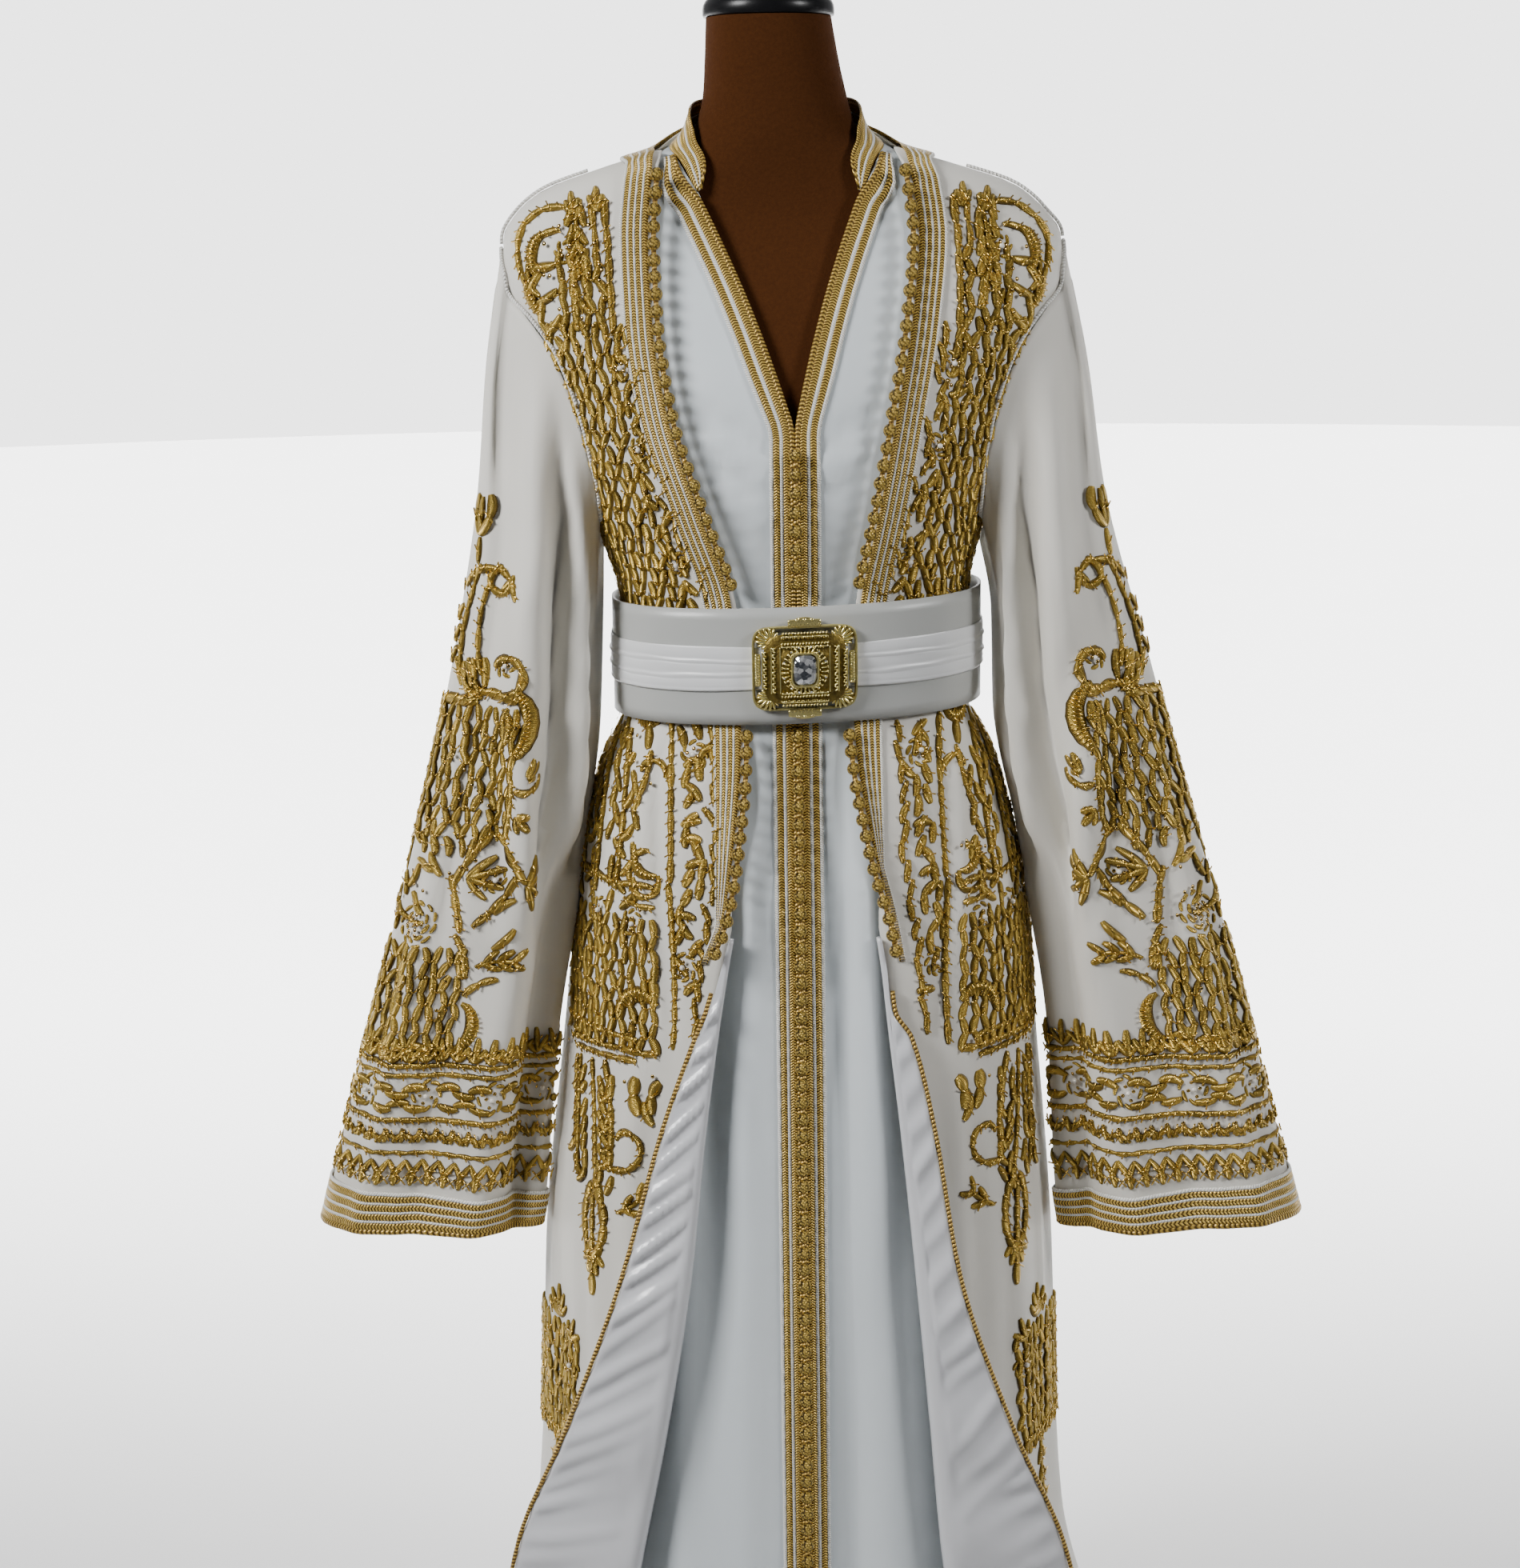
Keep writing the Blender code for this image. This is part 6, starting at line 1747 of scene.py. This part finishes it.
belt_satin = cloth_finish("belt_satin", (0.385, 0.395, 0.38), (0.455, 0.46, 0.445), 0.36, 1500, 0.1)
cloth_piece(
    "belt_band_satin", 160, 10, band_place, belt_satin, "belt", "belt_band",
    closed=True, wall=belt_thickness,
)
pleat_satin = cloth_finish("pleat_satin", (0.66, 0.67, 0.68), (0.74, 0.745, 0.75), 0.32, 1500, 0.15)
cloth_piece(
    "belt_pleats_satin", 150, 30, pleat_place, pleat_satin, "pleats", "belt_pleats",
    closed=True, wall=0.0008,
)


# Buckle: cast and polished yellow metal, bent to the belt. A thin frame with a fan at each corner carries a
# stepped middle, rows of small arches and rope, a ring of petals, and a clear cut stone in a bezel. The
# openwork is not pierced: the stepped middle and the plates under the fans' ribs are dark gold, painted
# shade.
buckle_centre = 0.012
buckle_back = 0.0046
frame_half = (0.038, 0.0315)
dome_half = (0.0295, 0.0262)
stone_half = (0.0083, 0.0113)
buckle_gold = speckled(
    "buckle_gold", (0.72, 0.58, 0.17), (1, 0.9, 0.42), 0.17, 0.85, (180, 3), ((1100,), 0.00018, 0.5),
)
# Painted shade: a dark gold for the shade through the openwork and under the fans' ribs.
buckle_shade_ground = speckled(
    "buckle_shade_ground", (0.05, 0.031, 0.005), (0.32, 0.23, 0.05), 0.35, 0.8, (300, 3),
    ((900,), 0.0004, 0.8),
)


def buckle_spot(across, up, out):
    """Bends the flat buckle round the belt's front."""
    across, up, out = np.broadcast_arrays(*np.atleast_1d(across, up, out))
    turn = belt.turn_at(buckle_centre + across, np.full(across.shape, belt_middle))
    return belt_point(turn, up - 0.001, buckle_back + out)


def round_box(u, half_width, half_height, squareness):
    """Once round a rectangle with round corners."""
    angle = 2 * np.pi * u
    across = half_width * signed_power(np.cos(angle), 2 / squareness)
    return across, half_height * signed_power(np.sin(angle), 2 / squareness)


def cast_ring(name, half, squareness, section, columns, made, slot, *nodes, faceted=False):
    """A ring or a stepped solid: a section of inset and height pairs, led round a rounded rectangle."""
    section = np.array(section)

    def place(u, v):
        i = v * (len(section) - 1)
        inset = np.interp(i, range(len(section)), section[:, 0])
        across, up = round_box(u, half[0] - inset, half[1] - inset, squareness)
        return buckle_spot(across, up, np.interp(i, range(len(section)), section[:, 1]))

    mesh = laid_grid(name, columns, len(section) - 1, place, closed=True)
    mend(mesh, fill=True, outward=True)
    mesh.set_sharp_from_angle(angle=math.radians(1 if faceted else 38))
    thing_of(name, mesh, made, slot, *nodes)


def cast_copies(name, template, laid, made, slot, *nodes):
    """Copies on the buckle: across, up, out, the way each points, then half its length, width and depth."""
    across, up, out, heading, *half = np.array(laid, float).T
    here = buckle_spot(across, up, out)
    heading = np.radians(heading)
    along = buckle_spot(across + 0.001 * np.cos(heading), up + 0.001 * np.sin(heading), out) - here
    outward = unit(buckle_spot(across, up, out + 0.001) - here)
    axes = three_axes(along, outward, 1) * np.stack([half[1], half[2], half[0]], -1)[:, None, :]
    copies(name, template, here, axes, made, slot, *nodes)


def half_ring():
    """A small arch: a rod turned half round, open towards its own -Z."""
    shape = bmesh.new()
    bmesh.ops.create_circle(shape, cap_ends=True, segments=6, radius=0.26)
    bmesh.ops.translate(shape, verts=shape.verts, vec=(0.74, 0, 0))
    bmesh.ops.spin(
        shape, geom=shape.verts[:] + shape.edges[:] + shape.faces[:], cent=(0, 0, 0), axis=(0, 1, 0),
        angle=-math.pi, steps=8,
    )
    bmesh.ops.recalc_face_normals(shape, faces=shape.faces)
    return shape


def cast_block():
    """A block with softened edges."""
    shape = bmesh.new()
    bmesh.ops.create_cube(shape, size=2)
    bmesh.ops.bevel(
        shape, geom=shape.edges[:], offset=0.22, segments=2, profile=0.5, affect="EDGES", material=-1,
    )
    return shape


rim = ((0, 0.0004), (0, 0.0026), (0.0005, 0.0034), (0.0014, 0.0034), (0.002, 0.0026), (0.002, 0.0004))
cast_ring("buckle_frame_rim", frame_half, 7, rim + rim[:1], 128, buckle_gold, "buckle", "buckle_frame")
fan_ribs, fan_plates = [], []
for side_x in (-1, 1):
    for side_y in (-1, 1):
        foot = (side_x * 0.0215, side_y * 0.018)
        middle = math.degrees(math.atan2(side_y * 0.95, side_x))
        fan_plates.append((side_x * 0.0282, side_y * 0.0236, 0.0018, middle, 0.0072, 0.0078, 0.0018))
        for k in range(-4, 5):
            heading = middle + 19 * k
            reach = 0.0098 - 0.00018 * k * k
            x = foot[0] + 0.0022 * side_x + reach * 0.78 * math.cos(math.radians(heading))
            y = foot[1] + 0.0018 * side_y + reach * 0.78 * math.sin(math.radians(heading))
            fan_ribs.append((x, y, 0.004, heading, reach * 0.52, 0.00115, 0.0013))
# The fans' plates under their ribs take the dark finish: painted shade between the ribs.
cast_copies("buckle_fans", ball(), fan_plates, buckle_shade_ground, "buckle", "buckle_frame")
cast_copies("buckle_fan_ribs", ball_small(), fan_ribs, buckle_gold, "buckle", "buckle_frame")

dome = (
    (0, 0.0046), (0, 0.0058), (0.0008, 0.0063), (0.0058, 0.0073), (0.0062, 0.008), (0.0125, 0.0097),
    (0.0135, 0.0103),
)
# The stepped middle is solid; its dark finish is painted shade in place of the openwork's holes.
cast_ring("buckle_dome_shade_ground", dome_half, 4.5, dome, 96, buckle_shade_ground, "buckle", "buckle_dome")
rods, arches, ropes, petals, stones = [], [], [], [], []
for side_x in (-1, 1):
    # Two upright strips of arches and a scrolled column on each side.
    for across, half_height, out, rows in ((0.0205, 0.0172, 0.0083, 8), (0.0268, 0.0142, 0.0068, 7)):
        for edge in (-0.0031, 0.0031):
            rods.append((side_x * (across + edge), 0, out + 0.0011, 90, half_height, 0.0005, 0.0007))
        pitch = 2 * half_height / rows
        for k in range(rows):
            up = -half_height + pitch * (k + 0.5)
            turn = 0 if side_x > 0 else 180
            arches.append((side_x * (across + 0.0004), up, out + 0.0012, turn, 0.0026, pitch * 0.46, 0.0016))
    rods.append((side_x * 0.0334, 0, 0.005, 90, 0.0118, 0.0021, 0.002))
    for k in range(11):
        ropes.append((side_x * 0.0334, -0.0105 + 0.0021 * k, 0.0068, 35 * side_x, 0.0022, 0.0007, 0.0007))
for side_y in (-1, 1):
    for up, half_width, out in ((0.0268, 0.0165, 0.0058), (0.0196, 0.0172, 0.0086)):
        rods.append((0, side_y * (up - 0.0023), out + 0.0011, 0, half_width, 0.0006, 0.0008))
        count = int(half_width / 0.00105)
        for k in range(count):
            x = -half_width + 2 * half_width * (k + 0.5) / count
            ropes.append((x, side_y * up, out + 0.0014, 55, 0.0012, 0.0007, 0.001))
    for up, half_width, out, rows in ((0.0228, 0.0172, 0.007, 11), (0.016, 0.0135, 0.0096, 8)):
        pitch = 2 * half_width / rows
        for k in range(rows):
            x = -half_width + pitch * (k + 0.5)
            arches.append((x, side_y * up, out + 0.0011, 90 * side_y, 0.0023, pitch * 0.46, 0.0016))
for k in range(30):
    angle = 2 * math.pi * (k + 0.5) / 30
    x, y = 0.0135 * math.cos(angle), 0.015 * math.sin(angle)
    heading = math.degrees(math.atan2(y, x))
    petals.append((x, y, 0.0113, heading, 0.0024, 0.00075, 0.001))
    ropes.append((1.2 * x, 1.16 * y, 0.0108, heading + 90, 0.0013, 0.0006, 0.0008))
for angle in (20, 52, 128, 160, 200, 232, 308, 340, 75, 105, 255, 285):
    x, y = 0.0155 * math.cos(math.radians(angle)), 0.0172 * math.sin(math.radians(angle))
    stones.append((x, y, 0.0108, 0, 0.001, 0.001, 0.0008))
for what, template, laid in (
    ("rods", cast_block(), rods), ("arches", half_ring(), arches), ("ropes", ball_small(), ropes),
    ("petals", ball_small(), petals),
):
    cast_copies(f"buckle_{what}", template, laid, buckle_gold, "buckle", "buckle_dome")

bezel_half = (stone_half[0] + 0.0018, stone_half[1] + 0.0018)
bezel = (
    (0, 0.0104), (0, 0.0126), (0.0005, 0.0133), (0.0012, 0.0133), (0.0017, 0.0126), (0.0017, 0.0104),
)
cast_ring("buckle_bezel_rim", bezel_half, 5, bezel + bezel[:1], 64, buckle_gold, "buckle", "buckle_bezel")
dots = []
for k in range(44):
    x, y = round_box(np.array(k / 44), bezel_half[0] + 0.0003, bezel_half[1] + 0.0003, 5)
    dots.append((float(x), float(y), 0.0122, 0, 0.0006, 0.0006, 0.0006))
cast_copies("buckle_bezel_dots", ball_small(), dots, buckle_gold, "buckle", "buckle_bezel")

# The cut stone and the small ones: the light and dark patches of their facets are painted reflections, a
# near black or near white per Voronoi cell in their colour.
cut_stone = finish("cut_stone", (0.75, 0.78, 0.8), 0.03, 0.75, Coat_Weight=1, Coat_Roughness=0.02)
facets = node(cut_stone, "ShaderNodeTexVoronoi", {"feature": "F1"}, Scale=330)
wire(cut_stone, object_spots(cut_stone), facets.inputs["Vector"])
facet_reflection_tone = between(cut_stone, facets.outputs["Color"], 0.25, 0.75)
two_tone(cut_stone, facet_reflection_tone, (0.1, 0.11, 0.13), (0.96, 0.97, 0.98))
relief(cut_stone, facets.outputs["Distance"], 0.0006, 0.5)
cut = ((0, 0.0108), (0, 0.0124), (0.0016, 0.0137), (0.003, 0.0145), (0.0042, 0.015))
cast_ring("buckle_stone", stone_half, 3.2, cut, 16, cut_stone, "crystal", "buckle_crystal", faceted=True)
cast_copies("buckle_small_stones", ball_small(), stones, cut_stone, "crystal", "buckle_crystal")

for name, side_y in (("top", 1), ("bottom", -1)):
    tabs = [(0, side_y * 0.0336, 0.0024, 0, 0.0122, 0.0026, 0.0022)]
    for x in np.linspace(-0.0105, 0.0105, 9):
        tabs.append((x, side_y * 0.0318, 0.0042, 0, 0.0004, 0.0014, 0.0006))
    crest = [(0, side_y * 0.0364, 0.003, 0, 0.0062, 0.0016, 0.0016)]
    for x in (-0.0055, 0, 0.0055):
        crest.append((x, side_y * (0.036 - 6 * x * x), 0.0036, 0, 0.0017, 0.0014, 0.0014))
    cast_copies(f"buckle_tab_{name}_plate", cast_block(), tabs, buckle_gold, "buckle", f"buckle_tab_{name}")
    cast_copies(f"buckle_tab_{name}_crest", ball_small(), crest, buckle_gold, "buckle", f"buckle_tab_{name}")


# Floor and light: a plain pale floor and soft light from four large lamps. The surround is dim on the
# camera's side, so that the folds keep their shade, and bright behind the thing.
floor_paint = finish("floor_paint", (0.6, 0.6, 0.6), 0.85)
two_tone(floor_paint, grain(floor_paint, 1.5), (0.585, 0.585, 0.585), (0.615, 0.615, 0.615))
floor_round = bmesh.new()
bmesh.ops.create_circle(floor_round, cap_ends=True, segments=96, radius=14)
floor = bpy.data.objects.new("floor", mesh_of("floor", floor_round))
floor.data.materials.append(floor_paint)
bpy.context.scene.collection.objects.link(floor)


def lamp(name, place, aim, size, power, spread=180):
    data = bpy.data.lights.new(name, "AREA")
    data.shape = "RECTANGLE"
    data.size, data.size_y = size
    data.energy = power
    data.spread = math.radians(spread)
    made = bpy.data.objects.new(name, data)
    made.location = place
    made.rotation_euler = (Vector(aim) - Vector(place)).to_track_quat("-Z", "Y").to_euler()
    bpy.context.scene.collection.objects.link(made)


lamp("key_lamp", (-2.2, -1.5, 2.6), (0, 0, 0.95), (1, 1), 23, 75)
lamp("fill_lamp", (2.4, -1.5, 2.4), (0, 0, 0.95), (0.7, 0.7), 9.5, 75)
lamp("back_lamp", (0.4, 2.8, 2.6), (0, 0, 1), (2, 1.6), 3)
lamp("floor_lamp", (0, 9, 4), (0, 9.001, 0), (18, 16), 7500, 50)
# The surround: dim in front of the garment, where the lamps stand, and bright low down behind it.
surround = bpy.data.worlds.new("surround")
surround.use_nodes = True
total = node(surround, "ShaderNodeMath")
parts = node(surround, "ShaderNodeSeparateXYZ")
wire(surround, node(surround, "ShaderNodeTexCoord").outputs["Generated"], parts.inputs["Vector"])
for number, (start, end, dim, bright) in enumerate(((0, 0.8, 0.035, 0.4), (0.915, 0.95, 0, 2.9))):
    shade = node(
        surround, "ShaderNodeMapRange", {"interpolation_type": "SMOOTHSTEP"},
        From_Min=start, From_Max=end, To_Min=dim, To_Max=bright,
    )
    wire(surround, parts.outputs["Y"], shade.inputs["Value"])
    wire(surround, shade.outputs["Result"], total.inputs[number])
background = surround.node_tree.nodes["Background"]
wire(surround, total.outputs[0], background.inputs["Strength"])
background.inputs["Color"].default_value = (1, 1, 1, 1)
bpy.context.scene.world = surround
